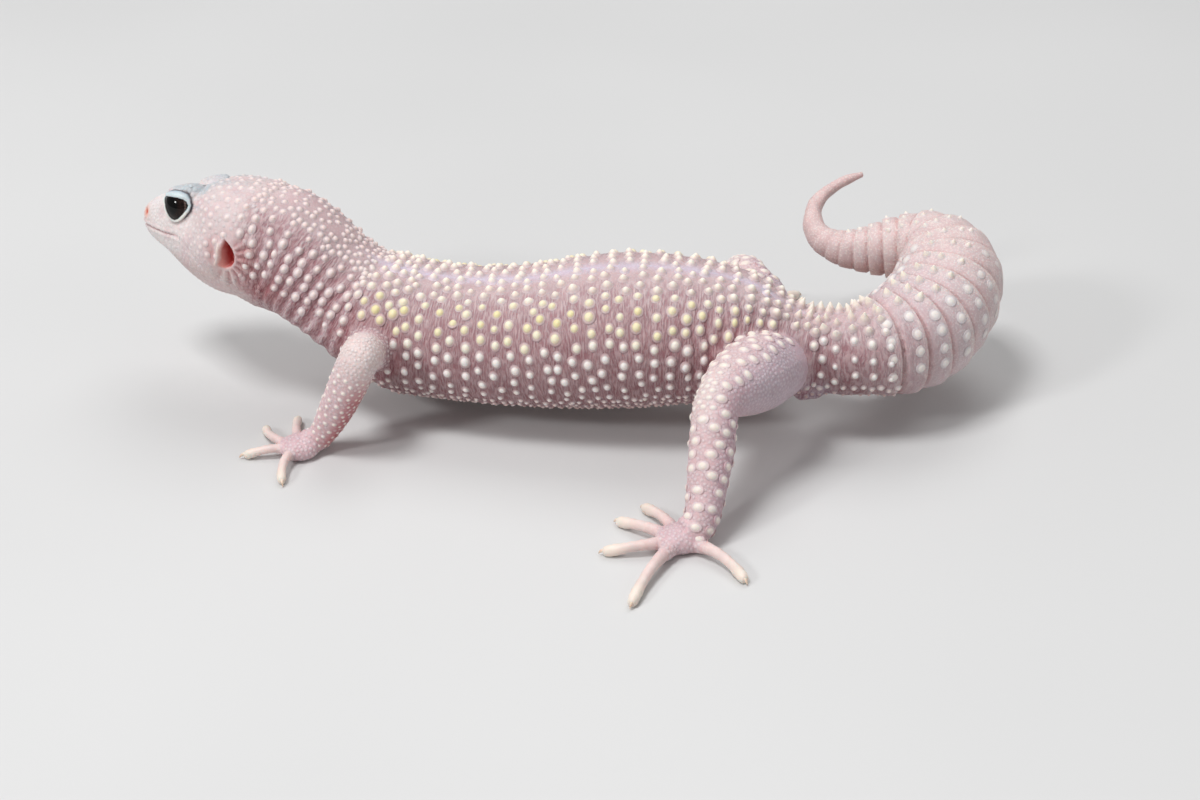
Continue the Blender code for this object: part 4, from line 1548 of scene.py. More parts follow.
        # black painted shade where the lids turn in against the eye
        paint.lay(16, 13, 14, close * smoothstep(outside, 0.10, 0.0))
        drum = beside * smoothstep(-ear, -0.05, 0.35)
        self.wet = np.clip(0.8 * rim + 0.8 * drum + mound(near, 0, 0.4) * near_head, 0, 1)

    def dress(self, finish: bpy.types.Material, flesh: list) -> None:
        """Gives the skin its finish and hides the nodes that it stands for.

        Args:
            finish: its material.
            flesh: the names of the nodes that it stands for.
        """
        self.piece.data.materials.clear()
        self.piece.data.materials.append(finish)
        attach(self.piece, "root")
        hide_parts(*flesh)

    def settle(self, shift: Array) -> None:
        """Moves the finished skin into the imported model's frame."""
        set_points(self.piece, (self.points + shift) * MM)


# ---------------------------------------------------------------- the coat

class Shape(Enum):
    """The kinds of scale in the coat: sides, and rows of radius and height."""

    DOME = (13, ((1.7, -0.12), (1.36, 0.03), (1.10, 0.20), (0.88, 0.50), (0.62, 0.79), (0.32, 0.95)))
    CONE = (12, ((1.5, -0.10), (1.22, 0.06), (0.99, 0.25), (0.77, 0.50), (0.50, 0.77), (0.24, 0.94)))
    SPIKE = (12, ((1.5, -0.10), (1.20, 0.06), (0.94, 0.24), (0.66, 0.50), (0.38, 0.76), (0.14, 0.95)))
    GRAIN = (8, ((1.35, -0.25), (1.0, 0.35), (0.55, 0.86)))


@dataclass
class Scales:
    """Scales of one shape, each a row of what add takes."""

    rows: list = field(default_factory=list)

    def add(self, root: Array, normal: Array, radius: float, height: float, colour: Array, skin: Array,
            spot: tuple, grain: tuple = (0.0, 0.0, 0.0)) -> None:
        """Adds one scale.

        Args:
            root: its place on the skin.
            normal: the way it points.
            radius: its radius.
            height: its height.
            colour: its own colour.
            skin: the skin's colour there.
            spot: its place on the unwrap.
            grain: the way it is stretched, by how much.
        """
        self.rows.append((root, normal, radius, height, colour, skin, spot, grain))

    def column(self, number: int) -> Array:
        """One value of every scale, by its number in a row."""
        return np.array([row[number] for row in self.rows], float)


@dataclass
class Coat:
    """Solid tubercles and granules over the skin, in joined pieces."""

    skin: Skin
    patch: float = 0.0015          # half the reach of a scale on the unwrap
    tree: BVHTree = field(init=False)
    triangles: Array = field(init=False)
    draw: np.random.Generator = field(init=False)
    models: dict = field(init=False, default_factory=dict)

    def __post_init__(self) -> None:
        """Prepares the skin's surface for finding roots on it."""
        self.triangles = triangles_of(self.skin.piece)
        self.tree = BVHTree.FromPolygons(self.skin.points.tolist(), self.triangles.tolist())
        self.draw = np.random.default_rng(SEED)
        for shape in Shape:
            self.models[shape] = self.model(shape)

    def model(self, shape: Shape) -> tuple[Array, Array]:
        """Models one scale of a shape by extruding and narrowing a disc.

        Args:
            shape: sides and rows of the scale.

        Returns:
            Its points, with radius and height 1, and its triangles.
        """
        sides, rows = shape.value
        deselect()
        bpy.ops.mesh.primitive_circle_add(vertices=sides, radius=rows[0][0], fill_type="NGON",
                                          location=(0, 0, rows[0][1] - 0.25))
        piece = bpy.context.object
        bpy.ops.object.transform_apply(location=True, rotation=True, scale=True)
        bpy.ops.object.mode_set(mode="EDIT")
        bpy.ops.mesh.select_all(action="SELECT")
        radius, height = rows[0][0], rows[0][1] - 0.25
        for next_radius, next_height in rows:
            bpy.ops.mesh.extrude_region_move(TRANSFORM_OT_translate={"value": (0, 0, next_height - height)})
            ratio = next_radius / radius
            bpy.ops.transform.resize(value=(ratio, ratio, 1.0))
            radius, height = next_radius, next_height
        bpy.ops.mesh.poke()
        bpy.ops.mesh.select_all(action="SELECT")
        bpy.ops.mesh.normals_make_consistent(inside=False)
        bpy.ops.mesh.quads_convert_to_tris(quad_method="FIXED", ngon_method="BEAUTY")
        bpy.ops.object.mode_set(mode="OBJECT")
        points = points_of(piece)
        top = (np.hypot(points[:, 0], points[:, 1]) < 1e-4) & (points[:, 2] > 0)
        points[top, 2] = 1.0
        triangles = triangles_of(piece).copy()
        bpy.data.objects.remove(piece)
        return points, triangles

    def surface(self, origin: Array, way: Array, most: float) -> tuple | None:
        """The skin where a ray first leaves the body.

        Args:
            origin: where the ray starts.
            way: its direction.
            most: the greatest distance that counts.

        Returns:
            Place, normal, distance and colour, or None.
        """
        place, _, index, distance = self.tree.ray_cast(Vector(origin), Vector(way))
        if place is None or distance > most:
            return None
        corners = self.triangles[index]
        return (np.array(place), unit(self.skin.normals[corners].mean(axis=0)), distance,
                self.skin.colours[corners].mean(axis=0))

    # ---- rows round the body

    def body_scale(self, section: float, height: float) -> tuple:
        """Size and colour of a tubercle on neck, trunk or tail base.

        Args:
            section: the place along the body.
            height: degrees above the flank.

        Returns:
            Shape, radius, height, gap to the next one round the body, stretch round the body, and
            colour.
        """
        yellow, white, pale, rosy = (tone(230, 220, 168), tone(236, 230, 226), tone(242, 232, 220),
                                     tone(230, 210, 208))
        h, along = np.array(height), np.array(section)
        low = float(smoothstep(h, 6, -46) if section < 15.4 else smoothstep(h, -15, -62))
        neck, groin = float(smoothstep(along, 6.2, 4.4)), float(smoothstep(along, 12.4, 14.0))
        base = float(smoothstep(along, 15.0, 16.2))
        shape, radius, tall, gap = Shape.DOME, 0.60 - 0.30 * low, 0.50 - 0.24 * low, 2.75 - 1.35 * low
        share = smoothstep(h, 8, 30) * (1 - neck) * (1 - base) * self.draw.uniform(0.45, 1.0)
        colour = blend(blend(white, yellow, share), rosy, np.array(max(0.65 * neck, 0.5 * low)))
        colour = blend(colour, tone(206, 178, 174), smoothstep(h, -20, -56))
        colour = blend(colour, pale, smoothstep(h, 42, 58) * (1 - 0.5 * neck))
        colour = blend(colour, tone(230, 208, 205), 0.9 * neck * smoothstep(h, 36, 60))
        if height > 56:
            shape, radius, tall, gap = Shape.CONE, 0.74, 0.92, 2.35
            if section < 5.4:
                shape, radius, tall, gap = Shape.DOME, 0.44, 0.30, 1.8
        else:
            radius = radius * (1 - 0.2 * neck) * (1 - 0.17 * groin)
            gap = gap * (1 - 0.18 * neck) * (1 - 0.22 * groin)
            tall = (tall + 0.1 * float(smoothstep(h, 35, 55))) * (1 - 0.15 * neck)
        if section > 15.0 and height > 48:
            shape, radius, tall = Shape.SPIKE, 0.70, 1.30 + 0.4 * float(smoothstep(h, 58, 74))
        gap *= 1 + 0.42 * base * float(smoothstep(h, 60, 40))
        stretch = (0.15 * neck + 0.28 * groin * (1 - base) + 0.12) * float(smoothstep(h, 60, 35))
        return shape, radius, tall, gap, stretch, colour

    def place_body(self, low: float, high: float) -> dict:
        """Roots staggered tubercles in columns round the body between two sections.

        Args:
            low: first section.
            high: last section.

        Returns:
            The scales by shape.
        """
        line, found = self.skin.body, {shape: Scales() for shape in Shape}
        fine = np.linspace(line.distance_to(low), line.distance_to(high), 2000)
        phase = self.skin.column_phase(fine)
        for half in range(math.ceil(2 * phase[0]), math.floor(2 * phase[-1]) + 1):
            travelled = float(np.interp(half / 2, phase, fine))
            centre, side, up, section, reach = line.ring_at(travelled)
            along = np.cross(up, side)
            for turn in (1, -1):
                angle = 90 - turn * math.degrees((0.55 + 0.5 * (half // 2 % 2)) * 2.35 / reach)
                if half % 2:
                    angle = 90 - turn * (4.0 if section < 5.4 else 120.0)
                while True:
                    height = 90 - abs((angle - 90 + 180) % 360 - 180)
                    lowest = 60 if half % 2 and section < 5.4 else -10 if section < 5.6 else -54
                    if height < lowest:
                        break
                    shape, radius, tall, gap, stretch, colour = self.body_scale(section, height)
                    steady = 1 - 0.75 * float(smoothstep(np.array(section), 12.4, 14.5))
                    slide, slip, grow = self.draw.normal(0, (0.26 * steady, 0.24 * steady, 0.08))
                    near = centre + reach * spoke(side, up, angle)
                    slide -= self.skin.sway * 2.2 * steady * ripple(near[None], 7.0, SEED)[0]
                    way = spoke(side, up, angle + math.degrees(slip / reach))
                    hit = self.surface(centre + along * slide, way, reach * 1.12)
                    angle -= turn * math.degrees(gap / (hit[2] if hit else reach))
                    if hit is None:
                        continue
                    grow = float(np.clip(1 + grow, 0.8, 1.2))
                    spot = (travelled / line.travelled[-1], (angle / 360 + 0.5) % 1)
                    grain = unit(np.cross(along, hit[1])) * stretch
                    found[shape].add(hit[0], hit[1], radius * grow, tall * grow, colour, hit[3], spot, grain)
        return self.clear_of_legs(found)

    def clear_of_legs(self, found: dict) -> dict:
        """Drops the body's scales that a leg covers.

        Args:
            found: scales by shape.

        Returns:
            The scales that stay, by shape.
        """
        for scales in found.values():
            if scales.rows:
                roots = scales.column(0)
                local = self.skin.head.inside(roots)
                ear = outline_distance(local[:, ::2], self.skin.head.plan.ear)
                share = np.min([self.skin.on_leg(leg, roots)[0] for leg in self.skin.legs], axis=0)
                free = (share > 1.12) & ((ear > 1.9) | (local[:, 0] < -2.5))
                scales.rows = [row for row, wanted in zip(scales.rows, free) if wanted]
        return found

    def place_tail(self) -> dict:
        """Roots a row of tubercles on each of the front tail rings, and low bumps on the rest.

        Returns:
            The scales by shape.
        """
        skin, line = self.skin, self.skin.body
        found = {shape: Scales() for shape in Shape}
        fine = np.linspace(line.distance_to(17.0), line.distance_to(27.5), 3000)
        phase = skin.ring_phase(fine)
        white, pale = tone(244, 234, 228), tone(248, 240, 226)
        for ring in range(math.ceil(phase[0]), math.floor(phase[-1])):
            travelled = float(np.interp(ring + 0.62, phase, fine))
            centre, side, up, section, reach = line.ring_at(travelled)
            fade = float(smoothstep(np.array(section), 22.0, 19.0))
            crest_only = section > 21.5
            gap = 2.6 if crest_only else 3.2
            count = max(5, round(math.tau * reach * (0.30 if crest_only else 0.62) / gap))
            for k in range(count):
                angle = 90 + (k - (count - 1) / 2) * math.degrees(gap / reach) + self.draw.normal(0, 1.5)
                hit = self.surface(centre, spoke(side, up, angle), reach * 1.15)
                if hit is None:
                    continue
                crest = abs(angle - 90) < 30
                spot = (travelled / line.travelled[-1], (angle / 360 + 0.5) % 1)
                if crest:
                    found[Shape.SPIKE].add(hit[0], hit[1], 0.40 + 0.28 * fade, 0.50 + 0.85 * fade,
                                          blend(hit[3], pale, 0.6 + 0.4 * fade), hit[3], spot)
                elif not crest_only:
                    found[Shape.DOME].add(hit[0], hit[1], 0.48 + 0.18 * fade, 0.10 + 0.14 * fade,
                                          blend(hit[3], white, 0.20 + 0.55 * fade), hit[3], spot)
        return self.clear_of_legs(found)

    # ---- scattered scales

    def candidates(self, chosen: Array, count: int) -> tuple[Array, Array, Array]:
        """Random places on some of the skin's triangles.

        Args:
            chosen: a mask of triangles.
            count: how many places.

        Returns:
            Places, normals and colours.
        """
        some = self.triangles[chosen]
        corners = self.skin.points[some]
        area = np.linalg.norm(np.cross(corners[:, 1] - corners[:, 0], corners[:, 2] - corners[:, 0]), axis=1)
        picked = some[self.draw.choice(len(some), count, p=area / area.sum())]
        share = self.draw.dirichlet((1, 1, 1), count)[:, :, None]
        return ((self.skin.points[picked] * share).sum(1), unit((self.skin.normals[picked] * share).sum(1)),
                (self.skin.colours[picked] * share).sum(1))

    def spread(self, places: Array, gaps: Array, taken: list) -> list:
        """Picks places that keep their gaps from each other.

        Args:
            places: candidate places, in random order.
            gaps: each one's wanted distance from its neighbours; 0 leaves it out.
            taken: (place, gap) pairs that are there already; the picked ones are added.

        Returns:
            The numbers of the picked places.
        """
        cell = max(float(gaps.max()), 0.3)
        around = tuple(product((-1, 0, 1), repeat=3))
        grid, picked = {}, []
        for place, gap in taken:
            grid.setdefault(tuple(int(v // cell) for v in place), []).append((*place, gap))
        for i in np.flatnonzero(gaps > 0):
            (x, y, z), gap = places[i], gaps[i]
            i0, j0, k0 = home = (int(x // cell), int(y // cell), int(z // cell))
            if any((x - ox) ** 2 + (y - oy) ** 2 + (z - oz) ** 2 < (0.5 * (gap + other)) ** 2
                   for di, dj, dk in around
                   for ox, oy, oz, other in grid.get((i0 + di, j0 + dj, k0 + dk), ())):
                continue
            grid.setdefault(home, []).append((x, y, z, gap))
            taken.append(((x, y, z), gap))
            picked.append(int(i))
        return picked

    def place_head(self, neck: dict) -> dict:
        """Scatters tubercles over the head's rear and granules over all of it, clear of the neck's.

        Args:
            neck: the neck's scales by shape.

        Returns:
            The scales by shape.
        """
        plan, head = self.skin.head.plan, self.skin.head
        found = {shape: Scales() for shape in Shape}
        middles = head.inside(self.skin.points[self.triangles].mean(axis=1))
        chosen = (middles[:, 0] > -2.5) & (np.linalg.norm(middles, axis=1) < 34)
        chosen &= head.share(middles) < 1.35
        taken = [(tuple(row[0]), 2.1) for row in neck[Shape.DOME].rows]
        for shape, count in ((Shape.DOME, 16000), (Shape.GRAIN, 60000)):
            places, normals, colours = self.candidates(chosen, count)
            local = head.inside(places)
            local[:, 1] = np.abs(local[:, 1])
            a, b, c = local.T
            side_view = np.stack((a, c), axis=1)
            outside, _, width, apart = self.skin.lid_places(local)
            ear = outline_distance(side_view, plan.ear)
            fold, _ = line_distance(side_view, plan.ear_fold)
            mouth, _ = line_distance(side_view, plan.mouth)
            free = ~((apart < 5.5) & (b > 3) & (outside < width + 0.35))
            free &= (ear > np.where((a < 2.9) | (c < -5.0), 2.0, 0.5)) | (b < 6)
            free &= ~((c > 4.0) & (a > 10.0)) | (shape is Shape.GRAIN)
            free &= (fold > 0.5) | (b < 6)
            free &= (mouth > 0.32) & (self.skin.nostril_distance(local) > 0.9)
            if shape is Shape.DOME:
                gap = 1.95 - 0.75 * smoothstep(a, 2.0, 12.0)
                free &= (c > -6.5 + 0.25 * a) & (a < 15.5)
            else:
                gap = 0.86 - 0.22 * smoothstep(a, 14, 22) - 0.08 * smoothstep(c, -3, -7)
            gap = np.where(free, gap, 0.0)
            for i in self.spread(places, gap, taken):
                ahead, left, above = head.inside(places[i][None])[0]
                spot = ((ahead + 10) / 42, (math.atan2(above, left) / math.tau + 0.5) % 1)
                if shape is Shape.DOME:
                    front = smoothstep(a[i], 3.0, 12.0)
                    radius, tall = 0.25 * gap[i], (0.17 - 0.07 * front) * gap[i]
                    colour = blend(tone(240, 224, 220), colours[i], 0.38 + 0.3 * front)
                else:
                    radius, tall = 0.38 * gap[i], 0.065
                    colour = blend(colours[i], tone(238, 226, 222), 0.14)
                found[shape].add(places[i], normals[i], radius, tall, colour, colours[i], spot)
        return found

    def place_legs(self, foot: Foot) -> dict:
        """Scatters tubercles and granules over the legs of one pair.

        Args:
            foot: which pair.

        Returns:
            The scales by shape.
        """
        skin = self.skin
        found = {shape: Scales() for shape in Shape}
        taken: list = []
        for half, leg in enumerate(leg for leg in skin.legs if leg.ends[0] is foot):
            middles = skin.points[self.triangles].mean(axis=1)
            share, place, _ = skin.on_leg(leg, middles)
            body = skin.body.locate(middles)
            chosen = (share < 1.35) & (body.share - share > -0.05) & (place > 0.4) & (place < 5.4)
            for shape, count in ((Shape.DOME, 9000), (Shape.GRAIN, 26000)):
                places, normals, colours = self.candidates(chosen, count)
                _, knot, near = skin.on_leg(leg, places)
                rear, under = normals[:, 0], -normals[:, 2]
                inner = -normals[:, 1] * leg.side
                if shape is Shape.DOME:
                    big = 2.15 if foot is Foot.FOOT else 1.45
                    gap = np.full(len(places), big)
                    if foot is Foot.FOOT:
                        gap -= 0.7 * smoothstep(knot, 4.0, 4.8)
                        gap = np.where(mound(knot, 2.0, 0.35) * smoothstep(rear, 0.3, -0.3) > 0.4, 1.25, gap)
                        free = (rear < 0.55) | (knot > 2.4)
                    else:
                        gap = gap - 0.45 * np.maximum(smoothstep(knot, 3.4, 4.4), smoothstep(rear, 0.0, 0.5))
                        free = np.abs(knot - 2.0) > 0.42
                        free &= knot > 1.2
                    free &= (inner < 0.35) & (under < 0.6) & (knot < 4.75)
                else:
                    gap = np.full(len(places), 0.63)
                    free = (knot < 5.25) & (inner < 0.75)
                gap = np.where(free, gap, 0.0)
                for i in self.spread(places, gap, taken):
                    offset = places[i] - near[i]
                    turn = math.atan2(offset[2] - offset[0], offset[1] + 0.3 * offset[0])
                    spot = (float(knot[i]) / 5.6, 0.5 * half + 0.02 + 0.46 * ((turn / math.tau + 0.5) % 1))
                    if shape is Shape.DOME:
                        radius, tall = (0.26 if foot is Foot.FOOT else 0.23) * gap[i], 0.15 * gap[i]
                        colour = blend(tone(238, 228, 218), colours[i], 0.16)
                        step = min(int(knot[i]), 3)
                        way = np.subtract(leg.line[step + 1], leg.line[step])
                        grain = (0.28 if foot is Foot.FOOT else 0.0) * unit(np.cross(way, normals[i]))
                    else:
                        radius, tall, grain = 0.25, 0.06, (0.0, 0.0, 0.0)
                        pale = 0.30 * smoothstep(rear[i], 0.1, 0.7) if foot is Foot.HAND else 0.0
                        colour = blend(colours[i], tone(242, 226, 224), 0.22 + pale)
                    found[shape].add(places[i], normals[i], radius, tall, colour, colours[i], spot, grain)
        return found

    # ---- joining

    def join(self, name: str, found: dict) -> bpy.types.Object:
        """Makes one piece of all the scales, with their colours and their map.

        Args:
            name: the piece's name.
            found: scales by shape.

        Returns:
            The piece.
        """
        all_points, all_faces, all_colours, all_spots, start = [], [], [], [], 0
        for shape, scales in found.items():
            count = len(scales.rows)
            if not count:
                continue
            model, faces = self.models[shape]
            roots, normals, radii, heights, own, base, spots, grain = map(scales.column, range(8))
            normals = unit(normals)
            first = unit(np.cross(normals, (0.31, 0.17, 0.93)))
            turn = self.draw.uniform(0, math.tau, count)[:, None]
            second = np.cross(normals, first)
            first, second = (first * np.cos(turn) + second * np.sin(turn),
                             second * np.cos(turn) - first * np.sin(turn))
            flat = model[None, :, 0, None] * first[:, None] + model[None, :, 1, None] * second[:, None]
            rise = np.where(model[:, 2] > 0, model[:, 2], model[:, 2] * 0.9)
            longer = np.linalg.norm(grain, axis=1)
            flat += (flat @ unit(grain)[:, :, None]) * (unit(grain) * longer[:, None])[:, None]
            points = (roots[:, None] + flat * radii[:, None, None]
                      + (rise[None, :] * heights[:, None])[:, :, None] * normals[:, None])
            spread = np.hypot(model[:, 0], model[:, 1])
            inner, outer = {Shape.DOME: (0.80, 1.36), Shape.GRAIN: (0.6, 1.3)}.get(shape, (0.55, 1.20))
            edge = smoothstep(spread, outer, inner)
            own, base = own[:, None], base[:, None]
            halo = base + (tone(240, 222, 222) - base) * (0.3 * mound(spread, 1.34, 0.2))[None, :, None]
            colours = halo + (own - halo) * (edge ** 1.3)[None, :, None]
            spots = spots[:, None] + self.patch * model[None, :, :2] / 1.6
            all_points.append(points.reshape(-1, 3))
            starts = start + np.arange(count)[:, None, None] * len(model)
            all_faces.append((faces[None] + starts).reshape(-1, 3))
            all_colours.append(colours.reshape(-1, 3))
            all_spots.append(spots.reshape(-1, 2))
            start += count * len(model)
        points, faces = np.vstack(all_points), np.vstack(all_faces)
        points[:, 2] = np.maximum(points[:, 2], 0.0)
        piece = piece_from(name, points, faces)
        set_colours(piece, "tint", np.clip(np.vstack(all_colours), 0, 1))
        layer = piece.data.uv_layers.new(name="OFBake")
        layer.data.foreach_set("uv", np.vstack(all_spots)[faces.ravel()].astype(np.float32).ravel())
        shade_smooth(piece)
        LOG.info("%s: %d triangles", name, len(faces))
        return piece

    def build(self, shift: Array, finish: bpy.types.Material) -> None:
        """Makes, dresses and places every piece of the coat.

        Args:
            shift: from the plan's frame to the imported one, in millimetres.
            finish: the material.
        """
        neck = self.place_body(1.2, 6.0)
        made = (("coat_neck", neck), ("coat_trunk", self.place_body(6.02, 17.9)),
                ("coat_tail", self.place_tail()), ("coat_head", self.place_head(neck)),
                ("coat_forelegs", self.place_legs(Foot.HAND)), ("coat_hind_legs", self.place_legs(Foot.FOOT)))
        for name, found in made:
            piece = self.join(name, found)
            set_points(piece, (points_of(piece) + shift) * MM)
            piece.data.materials.append(finish)
            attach(piece, "root")


# ---------------------------------------------------------------- eyes, eardrums and claws

@dataclass(frozen=True)
class Eyes:
    """Two wet balls behind the lids, each with a low clear bulge in front."""

    head: HeadFrame
    gaze: tuple = (0.18, 1.0, 0.10)     # on the left, in the head's frame

    def build(self, shift: Array, finish: bpy.types.Material) -> None:
        """Models one eye, copies it to the other side and dresses both.

        Args:
            shift: from the plan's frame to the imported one, in millimetres.
            finish: the material.
        """
        plan = self.head.plan
        deselect()
        bpy.ops.mesh.primitive_uv_sphere_add(segments=64, ring_count=40, radius=1.0)
        model = bpy.context.object
        bpy.ops.object.mode_set(mode="EDIT")
        bpy.ops.mesh.select_all(action="DESELECT")
        bpy.ops.object.mode_set(mode="OBJECT")
        front = [face.center.z > 0.72 for face in model.data.polygons]
        model.data.polygons.foreach_set("select", front)
        bpy.ops.object.mode_set(mode="EDIT")
        bpy.ops.transform.translate(value=(0, 0, 0.045), use_proportional_edit=True, proportional_size=0.5,
                                    proportional_edit_falloff="SMOOTH")
        bpy.ops.object.mode_set(mode="OBJECT")
        places = points_of(model)
        faces = [tuple(face.vertices) for face in model.data.polygons]
        bpy.data.objects.remove(model)
        for side, name in ((1, "left"), (-1, "right")):
            gaze = unit(np.array(self.gaze) * (1, side, 1))
            first = unit(np.cross((1.0, 0.0, 0.0), gaze))
            axes = np.array((np.cross(first, gaze), first, gaze))
            local = places @ axes * plan.eye_radius + np.array(plan.eye) * (1, side, 1)
            piece = piece_from(f"eyeball_{name}", (self.head.outside(local) + shift) * MM, faces)
            turn_outwards(piece)
            off = np.degrees(np.arccos(np.clip(places[:, 2], -1, 1)))
            iris = smoothstep(off, 20, 30) * smoothstep(off, 58, 48)
            colour = blend(np.broadcast_to(tone(8, 7, 8), places.shape), tone(38, 24, 21), iris)
            colour = blend(colour, tone(116, 98, 92), mound(off, 52, 2.2))
            set_colours(piece, "tint", colour)
            shade_smooth(piece)
            piece.data.materials.append(finish)
            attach(piece, "root")
            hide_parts(f"eye_{name}")
            LOG.info("eyeball_%s", name)


@dataclass(frozen=True)
class Eardrums:
    """A hollowed membrane at the bottom of each ear."""

    head: HeadFrame
    centre: tuple = (2.3, 8.1, -3.6)
    radii: tuple = (1.6, 0.8, 2.6)

    def build(self, shift: Array, finish: bpy.types.Material) -> None:
        """Models both eardrums and dresses them.

        Args:
            shift: from the plan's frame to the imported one, in millimetres.
            finish: the material.
        """
        for side, name in ((1, "left"), (-1, "right")):
            deselect()
            bpy.ops.mesh.primitive_uv_sphere_add(segments=40, ring_count=24, radius=1.0)
            piece = bpy.context.object
            piece.name = piece.data.name = f"ear_membrane_{name}"
            places = points_of(piece)
            hollow = smoothstep(np.hypot(places[:, 0], places[:, 2]), 0.9, 0.2) * (places[:, 1] * side > 0)
            places[:, 1] -= side * 0.45 * hollow
            local = places * self.radii + np.array(self.centre) * (1, side, 1)
            set_points(piece, (self.head.outside(local) + shift) * MM)
            turn_outwards(piece)
            shade_smooth(piece)
            piece.data.materials.append(finish)
            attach(piece, "root")
            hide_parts(f"eardrum_{name}")
            LOG.info("ear_membrane_%s", name)


@dataclass(frozen=True)
class Claws:
    """Small hooked claws, one at the end of each digit."""

    length: float = 1.9
    root_radius: float = 0.44
    sides: int = 14
    # Each step: share of the root's radius, and turn downwards in degrees
    steps: tuple = ((0.98, 0), (0.92, 7), (0.84, 9), (0.74, 11),
                    (0.62, 12), (0.47, 12), (0.30, 10), (0.12, 8))

    def model(self) -> tuple[Array, list]:
        """Models one claw by extruding and turning a disc step by step.

        Returns:
            Its points, with the root at the origin and pointing to +X, and its faces.
        """
        deselect()
        bpy.ops.mesh.primitive_circle_add(vertices=self.sides, radius=self.root_radius, fill_type="NGON",
                                          rotation=(0, math.pi / 2, 0))
        piece = bpy.context.object
        bpy.ops.object.transform_apply(location=True, rotation=True, scale=True)
        bpy.ops.object.mode_set(mode="EDIT")
        bpy.ops.mesh.select_all(action="SELECT")
        stride = self.length / len(self.steps)
        place, heading, share = Vector((0, 0, 0)), 0.0, 1.0
        for wanted, turn in self.steps:
            way = Vector((math.cos(heading), 0, -math.sin(heading))) * stride
            bpy.ops.mesh.extrude_region_move(TRANSFORM_OT_translate={"value": way})
            place += way
            ratio = wanted / share
            bpy.ops.transform.resize(value=(ratio,) * 3, center_override=place)
            bpy.ops.transform.rotate(value=-math.radians(turn), orient_axis="Y", center_override=place)
            heading += math.radians(turn)
            share = wanted
        bpy.ops.mesh.poke()
        bpy.ops.mesh.select_all(action="SELECT")
        bpy.ops.mesh.normals_make_consistent(inside=False)
        bpy.ops.object.mode_set(mode="OBJECT")
        points = points_of(piece)
        faces = [tuple(face.vertices) for face in piece.data.polygons]
        bpy.data.objects.remove(piece)
        return points, faces

    def build(self, shift: Array, finish: bpy.types.Material) -> None:
        """Sets a copy of the claw at the end of every digit, one piece to each foot.

        Args:
            shift: from the plan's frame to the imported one, in millimetres.
            finish: the material.
        """
        model, faces = self.model()
        for leg in LEGS:
            foot, side = leg.ends
            points, all_faces, colours = [], [], []
            for digit in leg.fan:
                root_share = 1 - (leg.claw_length + 0.55) / digit[2]
                root = leg.along_digit(digit, root_share, 0.18)
                way = unit(leg.along_digit(digit, 1.0) - leg.along_digit(digit, root_share))
                across = unit(np.cross((0.0, 0.0, 1.0), way))
                axes = np.array((way, across, np.cross(way, across)))
                made = model * (1.0, 0.82, 1.0) @ axes + root
                made[:, 2] = np.maximum(made[:, 2], 0.02)
                start = len(points) * len(model)
                points.append(made)
                all_faces += [tuple(start + v for v in face) for face in faces]
                along = np.clip(model[:, 0] / self.length, 0, 1)
                colours.append(blend(np.broadcast_to(tone(236, 220, 206), model.shape), tone(206, 176, 150),
                                     smoothstep(along, 0.4, 1.0)))
            name = f"claws_{foot.value}_{side}"
            piece = piece_from(name, (np.vstack(points) + shift) * MM, all_faces)
            set_colours(piece, "tint", np.vstack(colours))
            shade_smooth(piece)
            piece.data.materials.append(finish)
            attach(piece, "root")
            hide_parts(*(f"claw_{foot.value}_{side}_{number}" for number in range(1, 6)))
            LOG.info("%s", name)


# ---------------------------------------------------------------- the studio

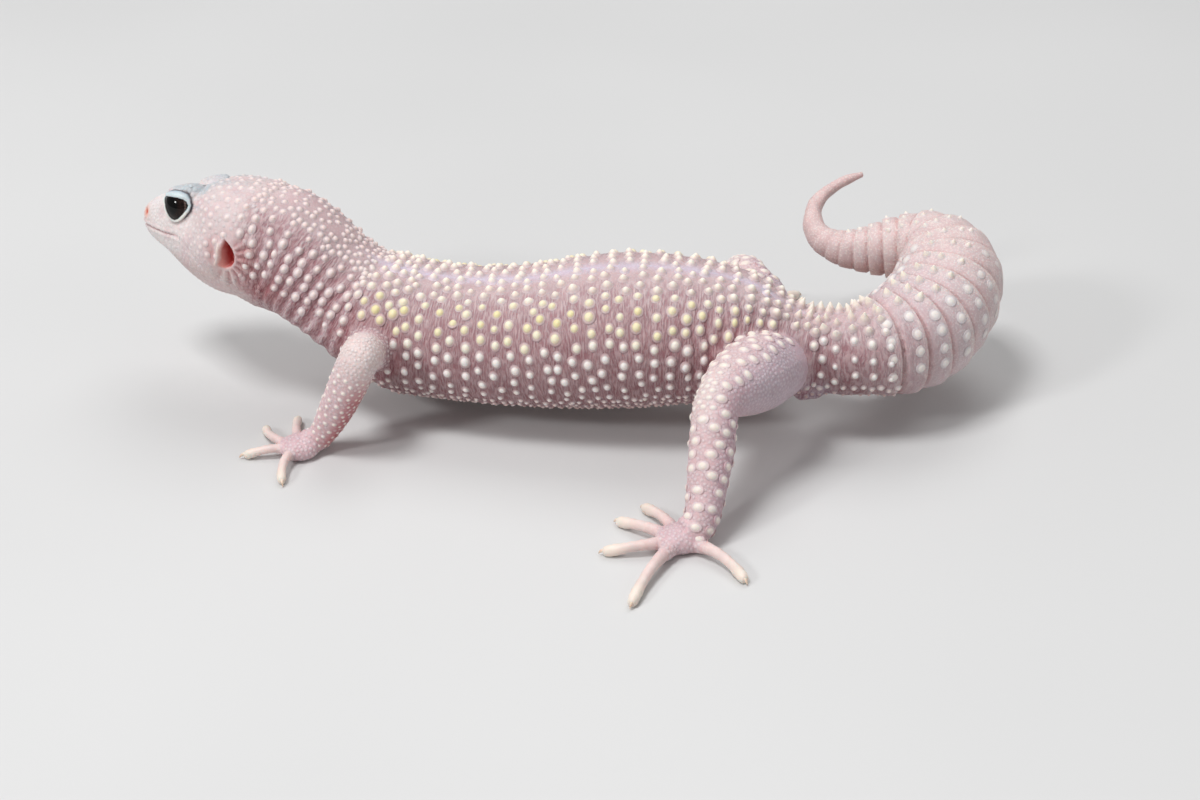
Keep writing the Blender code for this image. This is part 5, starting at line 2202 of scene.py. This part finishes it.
@dataclass(frozen=True)
class Studio:
    """A pale floor, soft lights and the camera."""

    target: tuple = (5.6186, -4.9280, 5.1931)
    azimuth: float = 8.0
    elevation: float = 30.0
    distance: float = 400.0
    lens: float = 68.88
    air: float = 0.31              # the white surroundings' strength
    # Each lamp: name, place, size and power
    lamps: tuple = (("key", (-0.34, -0.27, 1.14), 0.36, 8.6), ("glint", (-0.55, -0.54, 0.50), 0.13, 2.4),
                    ("fill", (0.75, -0.35, 0.55), 0.7, 0.9), ("back", (0.10, 0.60, 0.9), 0.6, 3.2))

    def build(self, shift: Array) -> None:
        """Sets up floor, lights, world and camera.

        Args:
            shift: from the plan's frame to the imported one, in millimetres.
        """
        deselect()
        bpy.ops.mesh.primitive_plane_add(size=6.0)
        floor = bpy.context.object
        floor.name = "studio_floor"
        floor.data.materials.append(FloorFinish().build())
        floor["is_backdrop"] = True
        world = bpy.data.worlds.new("studio_air")
        bpy.context.scene.world = world
        bpy.context.scene.view_settings.view_transform = "Standard"
        world.use_nodes = True
        background = world.node_tree.nodes["Background"].inputs
        background["Color"].default_value = (1.0, 1.0, 1.0, 1.0)
        background["Strength"].default_value = self.air
        for name, place, size, power in self.lamps:
            bpy.ops.object.light_add(type="AREA", location=place)
            lamp = bpy.context.object
            lamp.name = lamp.data.name = f"studio_{name}"
            lamp.data.size, lamp.data.energy = size, power
            lamp.rotation_euler = (-Vector(place)).to_track_quat("-Z", "Y").to_euler()
        azimuth, elevation = math.radians(self.azimuth), math.radians(self.elevation)
        back = Vector((math.sin(azimuth) * math.cos(elevation), -math.cos(azimuth) * math.cos(elevation),
                       math.sin(elevation)))
        place = Vector((np.array(self.target) + shift).tolist()) * MM + back * self.distance * MM
        bpy.ops.object.camera_add(location=place, rotation=back.to_track_quat("Z", "Y").to_euler())
        camera = bpy.context.object
        camera.data.lens, camera.data.sensor_width = self.lens, 36.0
        camera.data.clip_start = 0.01
        bpy.context.scene.camera = camera


def main() -> None:
    """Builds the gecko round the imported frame."""
    logging.basicConfig(level=logging.INFO, format="%(message)s")
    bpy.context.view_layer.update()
    body, head = BodyLine(BodyPlan()), HeadFrame(HeadPlan())
    low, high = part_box("eye_left")
    shift = np.array((low + high) / 2) / MM - head.outside(head.plan.packed_eye)
    LOG.info("frame shift %s", shift)
    shift[2] = 0.0
    Studio().build(shift)
    skin = Skin(body, head)
    skin.build()
    skin.paint()
    flesh = [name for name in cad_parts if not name.startswith(("eye_", "eardrum_", "claw_"))]
    Coat(skin).build(shift, TubercleFinish().build())
    skin.settle(shift)
    skin.dress(SkinFinish().build(), flesh)
    Eyes(head).build(shift, EyeFinish().build())
    Eardrums(head).build(shift, EardrumFinish().build())
    Claws().build(shift, ClawFinish().build())
    low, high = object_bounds()


if __name__ == "__main__":
    main()
